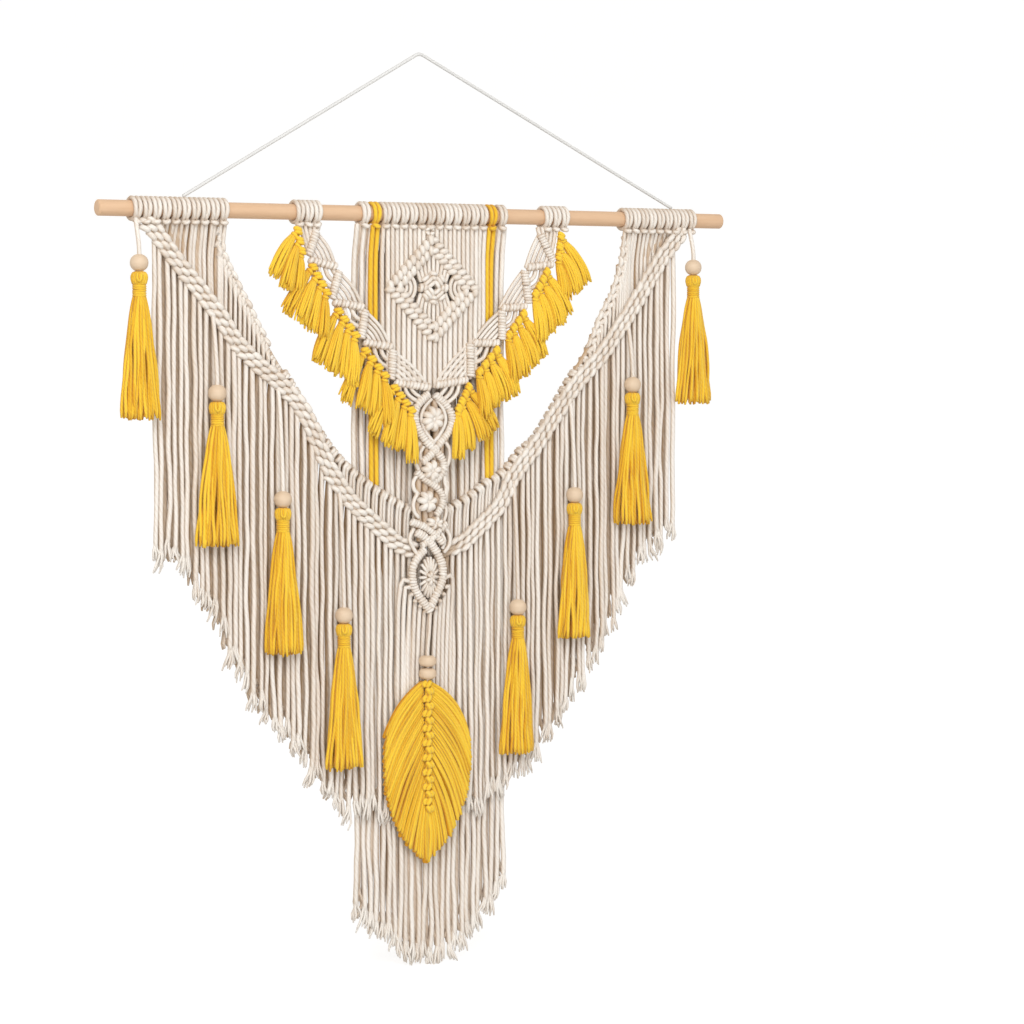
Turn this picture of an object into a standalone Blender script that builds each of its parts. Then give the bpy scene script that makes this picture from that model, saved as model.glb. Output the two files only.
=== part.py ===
"""A macrame wall hanging on a wooden dowel.

Metres, Z up, front towards -Y, and the origin at the hang point where the cord lies over its nail.
The tables are in millimetres from the middle of the dowel: x to the right, y to the back, z up.
"""

import math

import bpy
from mathutils import Vector

MM = 0.001
GAP = 0.3  # between neighbouring pieces
CENTRE_X = 9.0  # the cloth's centre line lies this far right of the nail
ROD_DROP = 165.0  # from the nail down to the dowel's axis

ROD_RADIUS = 8.0
ROD_LENGTH = 740.0
ROD_SIDES = 24
HEAD_BORE = ROD_RADIUS + GAP
HEAD_RADIUS = 12.4
HEAD_GROOVE = 11.2
HEAD_SIDES = 7
HEAD_ROOT_Z = -10.4  # a strand starts here, inside the wall of a row of heads
HEAD_UNDER = (-7.6, -10.1)  # y, z where an outer tassel's cord meets the row of heads from below
HANGER_END_Z = 13.1  # the hanging cord comes down on the heads here

STRAND = 3.0  # from the middle of a cotton cord to its front ridge
THIN = 1.3  # half thickness of a tassel's cord
BAR_SIDES = 5

# Layers from the wall to the front, as y of each layer's middle.
BACK_Y = 5.0
INNER_Y = 4.0
WING_Y = 2.6
BRAID_Y = -4.5
BRAID_FRONT_Y = -9.55  # a tassel's cord starts here, against the front of the braid
CURTAIN_Y = -3.6
NET_Y = -6.0
BEAD_Y = -16.0
LEAF_Y = -13.0

SIDES = {"left": -1, "right": 1}

# Material of each kind of piece: base colour and roughness.
MATERIALS = {
    "cream_cotton": ((0.80, 0.72, 0.62), 0.9),
    "yellow_cotton": ((0.90, 0.55, 0.05), 0.9),
    "white_cord": ((0.80, 0.80, 0.80), 0.85),
    "beech_dowel": ((0.76, 0.55, 0.36), 0.6),
    "bead_wood": ((0.80, 0.62, 0.40), 0.45),
}
SMOOTH_BELOW = math.radians(50)  # faces that meet at less than this are shaded as one

# Rows of lark's heads: x of both ends and the number of heads.
HEAD_ROWS = {
    "wing_left": (-336, -232, 10),
    "small_left": (-158, -128, 3),
    "white_left": (-84, -71.4, 1),
    "yellow_left": (-71, -59.4, 1),
    "centre": (-59, 67, 12),
    "yellow_right": (67.4, 79, 1),
    "white_right": (79.4, 92, 1),
    "small_right": (136, 168, 3),
    "wing_right": (238, 332, 9),
}

# Centre line of each wing's braid, outer end first: x, z.
BRAIDS = {
    "left": ((-312, -21), (-286, -53), (-264, -78), (-241, -105), (-225, -128), (-202, -150), (-172, -174),
             (-149, -199), (-117, -263), (-94, -292), (-67, -316), (-42, -336), (-16, -347)),
    "right": ((304, -23), (287, -42), (269, -67), (251, -93), (229, -122), (208, -147), (179, -174),
              (150, -210), (122, -246), (99, -272), (83, -300), (59, -322), (37, -339), (14, -347)),
}
# Centre line of each inner clove-hitch bar, from the dowel to the centre: x, z.
INNER_BARS = {
    "left": ((-239, -10), (-236, -44), (-228, -60), (-211, -91), (-198, -115), (-183, -141), (-159, -176),
             (-116, -239), (-86, -267), (-59, -285), (-32, -300), (2, -316)),
    "right": ((247, -10), (242, -42), (234, -69), (228, -82), (215, -105), (197, -141), (174, -173),
              (128, -236), (113, -246), (90, -269), (69, -279), (50, -292), (4, -313)),
}
# Lowest strand ends of the curtain of each wing: x, z.
CURTAIN_TIPS = {
    "left": ((-313, -335), (-297, -348), (-275, -364), (-250, -402), (-234, -439), (-203, -492), (-158, -544),
             (-130, -582), (-100, -613), (-62, -619), (-30, -616)),
    "right": ((306, -336), (262, -372), (243, -399), (211, -462), (159, -539), (120, -577), (93, -602),
              (50, -623), (24, -616)),
}
# Lowest ends of the long back strands: x, z.
BACK_TIPS = ((-88, -712), (-65, -736), (-42, -757), (-16, -772), (2, -777), (24, -773), (52, -751),
             (74, -733), (94, -706))

# Steps of the zigzag arms, as x, z: apex, end of the side bar, start and end of the level bar.
ARM_STEPS = {
    "left": (
        ((-135, -20), (-143, -43), (-141, -47), (-111, -55)),
        ((-108, -60), (-116, -84), (-112, -88), (-80, -94)),
        ((-79, -99), (-83, -125), (-79, -129), (-48, -136)),
        ((-47, -141), (-47, -166), (-46, -170), (0, -178)),
    ),
    "right": (
        ((133, -20), (149, -42), (149, -47), (117, -53)),
        ((112, -57), (119, -87), (115, -92), (84, -95)),
        ((83, -99), (84, -128), (82, -132), (51, -131)),
        ((46, -134), (45, -163), (45, -168), (4, -174)),
    ),
}

DIAMOND = {"top": (0, -22), "right": (55, -77), "bottom": (1, -130), "left": (-54, -75)}
DIAMOND_MIDDLE = (1, -75)

# Yellow fringe on the arms: x, z of the first and last knot, x, z of the first and last tip, number of locks.
FRINGES = {
    "left": (
        ((-152.3, -20), (-149.3, -39), (-181, -65), (-149, -81), 3),
        ((-139, -56), (-126, -80), (-168, -100), (-137, -125), 4),
        ((-109, -96.8), (-92, -122.8), (-136, -141), (-103, -169), 4),
        ((-76.7, -137.6), (-56.7, -162.6), (-102, -187), (-59, -209), 4),
        ((-43.5, -178.4), (-28, -200), (-63, -228), (-23, -249), 4),
    ),
    "right": (
        ((157.6, -19), (154.6, -42), (186, -66), (163, -86), 4),
        ((143, -56.3), (128, -79.3), (170, -102), (133, -127), 4),
        ((112.3, -100.3), (95.3, -122.3), (135, -148), (99, -169), 4),
        ((81, -139.4), (60, -162.4), (101, -186), (75, -202), 4),
        ((46.4, -175.4), (34, -199), (78, -220), (29, -246), 4),
    ),
}
FRINGE_ROOT_Y = -8.0
FRINGE_TIP_Y = -22.0

# Bars of the centre column: x, y, z of both ends and of the bend between them, and the number of knots.
COLUMN_BARS = (
    ((-4, -7, -183.2), (-18, -9, -208), (0, -11, -238), 4),
    ((4, -7.3, -184.2), (22, -9, -208), (5, -11.3, -239), 4),
    ((-3, -11, -238), (4, -11.5, -250), (9, -12, -262), 3),
    ((-21, -12, -266), (-10, -12, -273), (5, -12, -283), 3),
    ((1, -12, -290), (2, -12, -297), (6, -12.5, -306), 2),
    ((-29, -13, -314), (-14, -13, -322), (5, -13, -337), 4),
    ((-26, -13, -327), (-8, -13, -338), (13, -13, -352), 4),
    ((-21, -13, -346), (-28, -13, -372), (-8, -13, -406), 4),
    ((8, -13, -348), (13, -13, -374), (-3, -13, -405), 4),
)
# Knot clusters of the column: x, y, z, half width and half height.
COLUMN_CLUSTERS = (
    (-1, -9, -211, 9, 10),
    (-10, -11.5, -259, 10, 8),
    (-8, -12, -295, 9, 11),
    (-9, -13, -377, 6, 16),
)
COLUMN_SIDE_X = (-24, 14)  # side cords that link the clusters
# The cords that the clusters are tied on: x, y, z.
COLUMN_CORE = ((1, -7, -188), (-1, -9, -211), (3, -11, -238), (-9, -11.5, -259), (-8, -12, -295),
               (-8, -13, -332), (-9, -13, -377), (-6, -13, -404))
# Cords that loop out of the lowest column leaf: x and z at the root, x where it hangs.
COLUMN_TAILS = ((-27, -372, -26), (-22, -388, -16), (-14, -398, -7), (0, -400, 3), (7, -390, 12),
                (11, -376, 21))
TAIL_END_Z = -612

# Tassels: x and z of the bead, then z and half width of the skirt's lower end.
TASSELS = {
    "left": ((-333, -53, -204, 20), (-250, -180, -331, 22), (-178, -287, -443, 20), (-109, -407, -564, 20)),
    "right": ((323, -51, -198, 22), (244, -177, -326, 22), (170, -293, -445, 20), (99, -409, -563, 20)),
}
BEAD_RADIUS = 9.0
BEAD_HOLE = 1.8
BEAD_SIDES = 10
BEAD_RINGS = 4
TASSEL_HEAD = ((-10, 7.0), (-15, 9.3), (-21, 7.8), (-32, 7.4))  # below the bead's centre: z, half width
TASSEL_LOCKS = 7

LEAF_X = -11.0
LEAF_BEADS = {"leaf_bead_upper": -459.3, "leaf_bead_lower": -472.3}
LEAF_BEAD_HALF_HEIGHT = 6.2
LEAF_SPINE = (-482, -612)
LEAF_KNOTS = 9
LEAF_LOCKS = 8
# Lower outline of the leaf from its widest point to the tip: distance from the spine, z.
LEAF_OUTLINE = ((50, -566), (47, -598), (36, -628), (21, -652), (5, -669))


def at(x, y, z):
    return Vector((x, y, z))


def point_on(rows, x):
    """z of a table of x, z rows at x."""
    rows = sorted(rows)
    for (x0, z0), (x1, z1) in zip(rows, rows[1:]):
        if x <= x1 or (x1, z1) == rows[-1]:
            return z0 + (z1 - z0) * (x - x0) / (x1 - x0)


def spaced(points, count):
    """count + 1 points at even steps along a path."""
    lengths = [(b - a).length for a, b in zip(points, points[1:])]
    result = [points[0]]
    for step in range(1, count):
        left = sum(lengths) * step / count
        for a, b, length in zip(points, points[1:], lengths):
            if left <= length:
                result.append(a.lerp(b, left / length))
                break
            left -= length
    return result + [points[-1]]


def values(low, high, count):
    """count evenly spaced numbers from low to high."""
    return [low + (high - low) * i / (count - 1) for i in range(count)]


def spread(low, high, pitch):
    """Numbers from low to high, about one pitch apart."""
    return values(low, high, max(2, round((high - low) / pitch) + 1))


def tube(points, half_widths, half_depths, sides, turn=0.0):
    """A closed tube along points: width is across the path in the cloth's plane, depth is along y."""
    verts = []
    for i, point in enumerate(points):
        along = (points[min(i + 1, len(points) - 1)] - points[max(i - 1, 0)]).normalized()
        across = along.cross(Vector((0, 1, 0))).normalized()
        deep = across.cross(along)
        for k in range(sides):
            angle = turn + 2 * math.pi * k / sides
            offset = across * half_widths[i] * math.cos(angle) + deep * half_depths[i] * math.sin(angle)
            verts.append(point + offset)
    faces = []
    for i in range(len(points) - 1):
        for k in range(sides):
            a, b = i * sides + k, i * sides + (k + 1) % sides
            faces.append((a, a + sides, b + sides, b))
    faces.append(tuple(range(sides)))
    faces.append(tuple(reversed(range(len(verts) - sides, len(verts)))))
    return verts, faces


def cord(points, half=STRAND, sides=4):
    return tube(points, [half] * len(points), [half] * len(points), sides)


def strand(x, y, top, end, half=STRAND):
    """A hanging cord of three sides, with one ridge to the front."""
    points = [at(x, y, top), at(x, y, end)]
    return tube(points, [half] * 2, [half] * 2, 3, turn=-math.pi / 2)


def bar(points, knots, half_width, half_depth, groove=0.78):
    """A ridged bar that swells once for each knot."""
    stations = spaced(points, 2 * knots)
    swell = [1.0 if i % 2 else groove for i in range(len(stations))]
    widths, depths = [half_width * s for s in swell], [half_depth * s for s in swell]
    return tube(stations, widths, depths, BAR_SIDES, turn=-math.pi / 2)


def ring_points(x, radius, sides):
    turns = [2 * math.pi * (k + 0.5) / sides for k in range(sides)]
    return [at(x, radius * math.cos(t), radius * math.sin(t)) for t in turns]


def lathe_x(profile, sides, bore=0.0):
    """A solid turned about the x axis from x, radius rows, drilled through if bore is given."""
    verts = []
    for x, radius in profile:
        verts += ring_points(x, radius, sides)
    rows = len(profile)
    if bore:
        verts += ring_points(profile[-1][0], bore, sides) + ring_points(profile[0][0], bore, sides)
        rows += 2
    faces = []
    for i in range(rows if bore else rows - 1):
        for k in range(sides):
            a, b = i * sides + k, i * sides + (k + 1) % sides
            c, d = ((i + 1) % rows) * sides + (k + 1) % sides, ((i + 1) % rows) * sides + k
            faces.append((a, b, c, d))
    if not bore:
        faces.append(tuple(reversed(range(sides))))
        faces.append(tuple(range(len(verts) - sides, len(verts))))
    return verts, faces


def turned_upright(shape, middle):
    """A shape turned about x, stood on end with its axis along z at middle."""
    verts, faces = shape
    return [middle + at(v.z, v.y, -v.x) for v in verts], faces


def head_row(name):
    """Lark's heads side by side, as one ridged ring round the dowel."""
    start, end, heads = HEAD_ROWS[name]
    xs = values(start, end, 2 * heads + 1)
    profile = [(x, HEAD_RADIUS if i % 2 else HEAD_GROOVE) for i, x in enumerate(xs)]
    return lathe_x(profile, HEAD_SIDES, bore=HEAD_BORE / math.cos(math.pi / HEAD_SIDES))


def egg(x, y, z, half_width, half_depth, half_height):
    """A small rounded knot."""
    slices = ((-1.0, 0.4), (-0.5, 0.95), (0.5, 0.95), (1.0, 0.4))
    points = [at(x, y, z + half_height * s) for s, _ in slices]
    return tube(points, [half_width * r for _, r in slices], [half_depth * r for _, r in slices], BAR_SIDES)


def material(name):
    """The Principled material of that name, made on its first use."""
    if name not in bpy.data.materials:
        colour, roughness = MATERIALS[name]
        made = bpy.data.materials.new(name)
        made.use_nodes = True
        shader = made.node_tree.nodes["Principled BSDF"]
        shader.inputs["Base Color"].default_value = (*colour, 1)
        shader.inputs["Roughness"].default_value = roughness
        shader.inputs["Metallic"].default_value = 0.0
    return bpy.data.materials[name]


def mesh_object(name, shape, finish, collection):
    verts, faces = shape
    mesh = bpy.data.meshes.new(name)
    mesh.from_pydata([v * MM for v in verts], [], faces)
    mesh.shade_smooth()
    mesh.set_sharp_from_angle(angle=SMOOTH_BELOW)
    mesh.materials.append(material(finish))
    obj = bpy.data.objects.new(name, mesh)
    obj.location = (CENTRE_X * MM, 0, -ROD_DROP * MM)
    collection.objects.link(obj)
    return obj


def node(name, finish, shapes, solver="EXACT"):
    """One solid: every shape fused to the first. The helpers stay in a collection outside the scene."""
    base = mesh_object(name, shapes[0], finish, bpy.context.scene.collection)
    if len(shapes) == 1:
        return
    helpers = bpy.data.collections.new(f"{name}.shapes")
    for number, shape in enumerate(shapes[1:]):
        helper = mesh_object(f"{name}.shape{number}", shape, finish, helpers)
        helper.hide_render = True
        helper.display_type = "WIRE"
    fuse = base.modifiers.new("fuse", "BOOLEAN")
    fuse.operation = "UNION"
    fuse.solver = solver
    fuse.operand_type = "COLLECTION"
    fuse.collection = helpers


def make_dowel():
    half = ROD_LENGTH / 2
    profile = ((-half, 6.4), (-half + 1.6, ROD_RADIUS), (half - 1.6, ROD_RADIUS), (half, 6.4))
    node("dowel", "beech_dowel", [lathe_x(profile, ROD_SIDES)])


def make_hanger():
    """The hanging cord: straight legs, a tight bend over the nail, tied down on the dowel at both ends."""
    left, right, top = at(-278, 0, HANGER_END_Z), at(305, 0, HANGER_END_Z), at(-CENTRE_X, 2, ROD_DROP)
    bend = 5.0
    into, out = (top - left).normalized(), (right - top).normalized()
    curve = bpy.data.curves.new("hanger_cord", "CURVE")
    curve.dimensions = "3D"
    curve.bevel_depth = 1.2 * MM
    curve.bevel_resolution = 1
    curve.use_fill_caps = True
    path = [left.lerp(top - into * bend, i / 6) for i in range(7)]
    before, after = top - into * bend, top + out * bend
    path += [before.lerp(top, t).lerp(top.lerp(after, t), t) for t in (0.25, 0.5, 0.75)]
    path += [after.lerp(right, i / 6) for i in range(7)]
    spline = curve.splines.new("POLY")
    spline.points.add(len(path) - 1)
    for target, point in zip(spline.points, path):
        target.co = (*(point * MM), 1.0)
    curve.materials.append(material("white_cord"))
    obj = bpy.data.objects.new("hanger_cord", curve)
    obj.location = (CENTRE_X * MM, 0, -ROD_DROP * MM)
    bpy.context.scene.collection.objects.link(obj)


def back_strand_xs():
    """The long strands: under the white and centre heads, and below the ends of the yellow pairs."""
    return {"head": [-81, -73.6] + spread(-49, 62, 8.6) + [83, 90.4], "bar": [-61, 73]}


def make_main_panel():
    rows = [head_row(n) for n in ("wing_left", "white_left", "centre", "white_right", "wing_right")]
    xs = back_strand_xs()
    long_strands = [strand(x, BACK_Y, HEAD_ROOT_Z, point_on(BACK_TIPS, x)) for x in xs["head"]]
    wing_strands = []
    short_strands = []
    for side, sign in SIDES.items():
        braid, inner = BRAIDS[side], INNER_BARS[side]
        for x in spread(251, 297, 9.2):
            end = point_on(braid, sign * x) - 2
            wing_strands.append(strand(sign * x, WING_Y, HEAD_ROOT_Z, end))
        for x in spread(100, 234, 10.4):
            top, end = point_on(inner, sign * x) - 1, point_on(braid, sign * x) - 2
            if top - end > 9:
                short_strands.append(strand(sign * x, WING_Y, top, end))
    for x in xs["bar"]:
        inner = INNER_BARS["left" if x < 0 else "right"]
        short_strands.append(strand(x, BACK_Y, point_on(inner, x) - 1, point_on(BACK_TIPS, x)))
    bars = [bar([at(x, INNER_Y, z) for x, z in INNER_BARS[side]], 14, 4.8, 4.0) for side in SIDES]
    node("main_panel", "cream_cotton", rows + long_strands + wing_strands + bars + short_strands)


def make_braid(side):
    """A thick braid with its curtain of strands."""
    sign, line = SIDES[side], BRAIDS[side]
    strands = []
    for x in spread(32, 312 if side == "left" else 304, 8.6):
        top, end = point_on(line, sign * x), point_on(CURTAIN_TIPS[side], sign * x)
        strands.append(strand(sign * x, CURTAIN_Y, top, end))
    braid = bar([at(x, BRAID_Y, z) for x, z in line], 18, 8.4, 4.0)
    node(f"braid_{side}", "cream_cotton", [braid] + strands)


def make_yellow_pair(side):
    row = f"yellow_{side}"
    middle = (HEAD_ROWS[row][0] + HEAD_ROWS[row][1]) / 2
    strands = []
    for x in (middle - 2.9, middle + 2.9):
        end = point_on(INNER_BARS[side], x) + 7
        strands.append(strand(x, BACK_Y, HEAD_ROOT_Z, end))
    node(f"yellow_pair_{side}", "yellow_cotton", [head_row(row)] + strands)


def arm_shapes(side):
    """The bars and cords of one zigzag arm: a side bar and a level bar a step, and the cords between."""
    sign = SIDES[side]
    shapes = []
    behind = at(0, 0.55, 0)  # the cords' ridges lie behind the bars' own
    steps = [[at(x, NET_Y, z) for x, z in step] for step in ARM_STEPS[side]]
    for number, (apex, low, corner, end) in enumerate(steps):
        last = number == len(steps) - 1
        shapes.append(bar([apex, low], 2, 4.8, 3.9))
        shapes.append(bar([corner, end], 4 if last else 3, 4.6, 3.8))
        for share in (0.55, 0.95):
            shapes.append(cord([corner.lerp(apex, share) + behind, corner.lerp(end, share) + behind], 2.2, 3))
        if last:
            continue
        next_apex, next_low = steps[number + 1][:2]
        for share in (0.3, 0.62):
            a, b = end.lerp(corner, share), next_apex.lerp(next_low, share)
            bulge = at(sign * 5 * share, 0, -5 * share)
            shapes.append(cord([a + behind, a.lerp(b, 0.5) + bulge + behind, b + behind], 2.2, 3))
    return shapes


def diamond_shapes():
    """The diamond's double bars, corner cords and four-petal knot."""
    middle = at(DIAMOND_MIDDLE[0], NET_Y, DIAMOND_MIDDLE[1])
    corners = [at(DIAMOND[c][0], NET_Y, DIAMOND[c][1]) for c in ("top", "right", "bottom", "left")]
    shapes = []
    # Each ring of bars: how far it is drawn in to the middle, knots a side, and how far back it lies.
    for shrink, knots, back in ((0.08, 4, 0.0), (0.31, 3, 0.6)):
        ends = [c.lerp(middle, shrink) for c in corners]
        for number, (a, b) in enumerate(zip(ends, ends[1:] + ends[:1])):
            lift = at(0, back + 0.35 * (number % 2), 0)
            shapes.append(bar([a + lift, b + lift], knots, 5.1, 4.0))
    for across, up in ((-1, 1), (1, 1), (1, -1), (-1, -1)):
        shapes.append(egg(middle.x + 5.5 * across, NET_Y - 1.0, middle.z + 5.5 * up, 5.0, 3.6, 6.0))
    for dx in (-7, 7):
        for up in (1, -1):
            shapes.append(cord([middle + at(dx, 1, 4 * up), middle + at(dx, 1, (35 - abs(dx)) * up)], 1.8))
    for dx in (-21, 21):
        reach = 35 - abs(dx)
        bulge = at(dx * 24 / 21, 1, 0)
        shapes.append(cord([middle + at(dx, 1, reach), middle + bulge, middle + at(dx, 1, -reach)], 1.8))
    return shapes


def net_strands():
    """Cords from the heads down to the net: to the first side bars, and above and below the diamond."""
    shapes = []
    for side, sign in SIDES.items():
        apex, low = [at(x, NET_Y, z) for x, z in ARM_STEPS[side][0][:2]]
        for share, x in ((0.15, 132), (0.5, 140), (0.85, 148)):
            path = [at(sign * x, -4, HEAD_ROOT_Z), at(sign * x, NET_Y, -16), apex.lerp(low, share)]
            shapes.append(cord(path, 1.9))
    top, middle, bottom = DIAMOND["top"], DIAMOND_MIDDLE, DIAMOND["bottom"]
    for x in spread(-42, 42, 9.3):
        edge = abs(x - middle[0])
        shapes.append(strand(x, NET_Y + 0.8, -13.6, top[1] - 5 - edge))
        if abs(x) < 40:
            shapes.append(strand(x, NET_Y + 0.8, bottom[1] + 5 + edge, -177 + abs(x) * 0.13))
    return shapes


def make_zigzag_net():
    """The net's cords cross at so many angles that only the MANIFOLD solver closes their union."""
    rows = [head_row("small_left"), head_row("small_right")]
    shapes = arm_shapes("left") + arm_shapes("right") + diamond_shapes() + rows + net_strands()
    node("zigzag_net", "cream_cotton", shapes, solver="MANIFOLD")


def make_column():
    bars = [bar([at(*a), at(*b), at(*c)], knots, 4.0, 3.6) for a, b, c, knots in COLUMN_BARS]
    clusters = [egg(x, y, z, width, 4.4, height) for x, y, z, width, height in COLUMN_CLUSTERS]
    sides = [cord([at(x, -10.5, -228 if x > 0 else -222), at(x, -12.5, -330)], 2.0) for x in COLUMN_SIDE_X]
    tails = []
    for root_x, root_z, x in COLUMN_TAILS:
        bend = at(root_x * 0.5 + x * 0.5, -10, root_z - 16)
        points = [at(root_x, -13, root_z), bend, at(x, CURTAIN_Y, -440), at(x, CURTAIN_Y, TAIL_END_Z)]
        tails.append(cord(points, 2.5, 3))
    core = [cord([at(*p) for p in COLUMN_CORE], 2.4)]
    node("centre_column", "cream_cotton", bars + clusters + core + sides + tails)


def make_fringe(side, number):
    """A narrow knotted strip with its locks, which lean forward as they fall."""
    first, last, tip_a, tip_b, count = FRINGES[side][number]
    root_a, root_b = at(first[0], FRINGE_ROOT_Y, first[1]), at(last[0], FRINGE_ROOT_Y, last[1])
    end_a, end_b = at(tip_a[0], FRINGE_TIP_Y, tip_a[1]), at(tip_b[0], FRINGE_TIP_Y, tip_b[1])
    locks = []
    for share in values(0.0, 1.0, count):
        root, end = root_a.lerp(root_b, share), end_a.lerp(end_b, share)
        locks.append(tube([root, end], [2.2, 3.7], [2.2, 2.7], 4))
    reach = (root_b - root_a).normalized() * 3
    strip = bar([root_a - reach, root_b + reach], 2, 3.5, 3.4)
    node(f"fringe_{side}_{number + 1}", "yellow_cotton", [strip] + locks)


def bead(name, x, z, half_height):
    """A drilled bead with its hole upright."""
    profile = []
    for i in range(BEAD_RINGS + 1):
        t = math.pi * (0.13 + 0.74 * i / BEAD_RINGS)
        profile.append((-half_height * math.cos(t), BEAD_RADIUS * math.sin(t)))
    shape = lathe_x(profile, BEAD_SIDES, bore=BEAD_HOLE)
    node(name, "bead_wood", [turned_upright(shape, at(x, BEAD_Y, z))])


def make_tassel(side, number):
    """A tassel with its cord, which runs up through the bead to the cloth."""
    x, z, skirt_z, skirt_half = TASSELS[side][number]
    if number == 0:
        root = [at(x, *HEAD_UNDER)]
    else:
        root = [at(x, BRAID_FRONT_Y, point_on(BRAIDS[side], x) - 3)]
    string = cord(root + [at(x, BEAD_Y, z + BEAD_RADIUS + 2), at(x, BEAD_Y, z - 14)], THIN, 3)
    head = tube([at(x, BEAD_Y, z + dz) for dz, _ in TASSEL_HEAD], [r for _, r in TASSEL_HEAD],
                [r * 0.92 for _, r in TASSEL_HEAD], 6)
    locks = []
    neck_z = z + TASSEL_HEAD[-1][0] + 3
    for k in range(TASSEL_LOCKS):
        turn = 2 * math.pi * (k + 0.5) / TASSEL_LOCKS
        out = at(math.cos(turn), math.sin(turn), 0)
        root = at(x + out.x * 5.0, BEAD_Y - 0.6 + out.y * 4.6, neck_z)
        end = at(x + out.x * (skirt_half - 3.5), BEAD_Y - 0.6 + out.y * 6.3, skirt_z)
        locks.append(tube([root, end], [1.8, 4.6], [1.8, 2.9], 4))
    node(f"tassel_{side}_{number + 1}", "yellow_cotton", [string, head] + locks)


def make_leaf():
    """The yellow feather: a spine of square knots and fanned locks."""
    top, low = LEAF_SPINE
    column_end = min(c[2] for a, b, c, _ in COLUMN_BARS)
    over_beads = LEAF_BEADS["leaf_bead_upper"] + 10
    string = cord([at(LEAF_X + 2, -12.8, column_end - 3.6), at(LEAF_X, BEAD_Y, over_beads),
                   at(LEAF_X, BEAD_Y, top + 1), at(LEAF_X, LEAF_Y - 1, top - 6)], THIN)
    spine = bar([at(LEAF_X, LEAF_Y - 1, top), at(LEAF_X, LEAF_Y - 1, low)], LEAF_KNOTS, 6.2, 4.6)
    locks = []
    for sign in (-1, 1):
        outline = [at(LEAF_X + sign * x, LEAF_Y, z) for x, z in LEAF_OUTLINE]
        for i, end in enumerate(spaced(outline, LEAF_LOCKS - 1)):
            share = i / (LEAF_LOCKS - 1)
            root = at(LEAF_X + sign * (3.6 - 2 * share), LEAF_Y, top - 5 + (low - top + 2) * share)
            bow = at(sign * 9 * (1 - share), 0, 7 * (1 - share))
            middle = root.lerp(end, 0.5) + bow
            locks.append(tube([root, middle, end], [2.8, 5.2, 4.6], [2.6, 3.2, 2.6], 3, -math.pi / 2))
    node("leaf", "yellow_cotton", [string, spine] + locks)


for old in list(bpy.data.objects):
    bpy.data.objects.remove(old)
make_dowel()
make_hanger()
make_main_panel()
make_zigzag_net()
make_column()
for side in SIDES:
    make_braid(side)
    make_yellow_pair(side)
    for number in range(5):
        make_fringe(side, number)
    for number, (x, z, _, _) in enumerate(TASSELS[side]):
        bead(f"bead_{side}_{number + 1}", x, z, BEAD_RADIUS)
        make_tassel(side, number)
for name, z in LEAF_BEADS.items():
    bead(name, LEAF_X, z, LEAF_BEAD_HALF_HEIGHT)
make_leaf()
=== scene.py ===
"""Dresses the frame of a macrame wall hanging: cotton cords and knots, tassels, beads and dowel.

The tables are in millimetres from the middle of the dowel, as the object's own solids are laid out:
x to the right, y to the back, z up. Each piece turns them into the frame's metres when its mesh is made.
"""

import math
import random

import bpy
import numpy as np
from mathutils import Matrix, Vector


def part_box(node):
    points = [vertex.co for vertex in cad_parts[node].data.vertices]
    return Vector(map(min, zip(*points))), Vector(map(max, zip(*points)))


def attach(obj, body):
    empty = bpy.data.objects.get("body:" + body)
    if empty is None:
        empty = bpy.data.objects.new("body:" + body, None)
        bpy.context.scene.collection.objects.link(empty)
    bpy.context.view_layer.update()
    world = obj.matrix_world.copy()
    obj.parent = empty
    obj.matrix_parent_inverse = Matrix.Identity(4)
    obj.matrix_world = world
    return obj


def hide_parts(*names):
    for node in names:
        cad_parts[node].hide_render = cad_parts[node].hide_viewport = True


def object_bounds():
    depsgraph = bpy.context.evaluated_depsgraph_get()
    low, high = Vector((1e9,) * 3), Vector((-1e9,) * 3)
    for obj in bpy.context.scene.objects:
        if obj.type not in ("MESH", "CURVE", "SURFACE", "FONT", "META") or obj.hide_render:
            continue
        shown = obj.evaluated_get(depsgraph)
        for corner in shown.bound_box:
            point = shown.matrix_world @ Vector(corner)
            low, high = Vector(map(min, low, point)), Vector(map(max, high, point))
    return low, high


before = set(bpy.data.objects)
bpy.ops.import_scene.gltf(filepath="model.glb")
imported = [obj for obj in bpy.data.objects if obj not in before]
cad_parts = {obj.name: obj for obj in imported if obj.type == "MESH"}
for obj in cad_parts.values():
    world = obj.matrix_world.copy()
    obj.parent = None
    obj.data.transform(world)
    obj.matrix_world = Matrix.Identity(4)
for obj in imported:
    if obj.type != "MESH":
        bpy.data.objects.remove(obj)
cad_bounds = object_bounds()

MM = 0.001
DOWEL_MIDDLE = np.array((9.0, 0.0, -165.0))  # from the hang point
FRONT = np.array((0.0, -1.0, 0.0))
BACK = np.array((0.0, 1.0, 0.0))
RIGHT = np.array((1.0, 0.0, 0.0))
UP = np.array((0.0, 0.0, 1.0))
SIDES = {"left": -1, "right": 1}

# Camera: place and aim for the photograph's view, in metres and degrees.
CAMERA_PLACE = (-1.5448, -2.6576, -0.2778)
CAMERA_YAW = 31.92
CAMERA_DOWN = 3.60
CAMERA_LENS = 104.66

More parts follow.
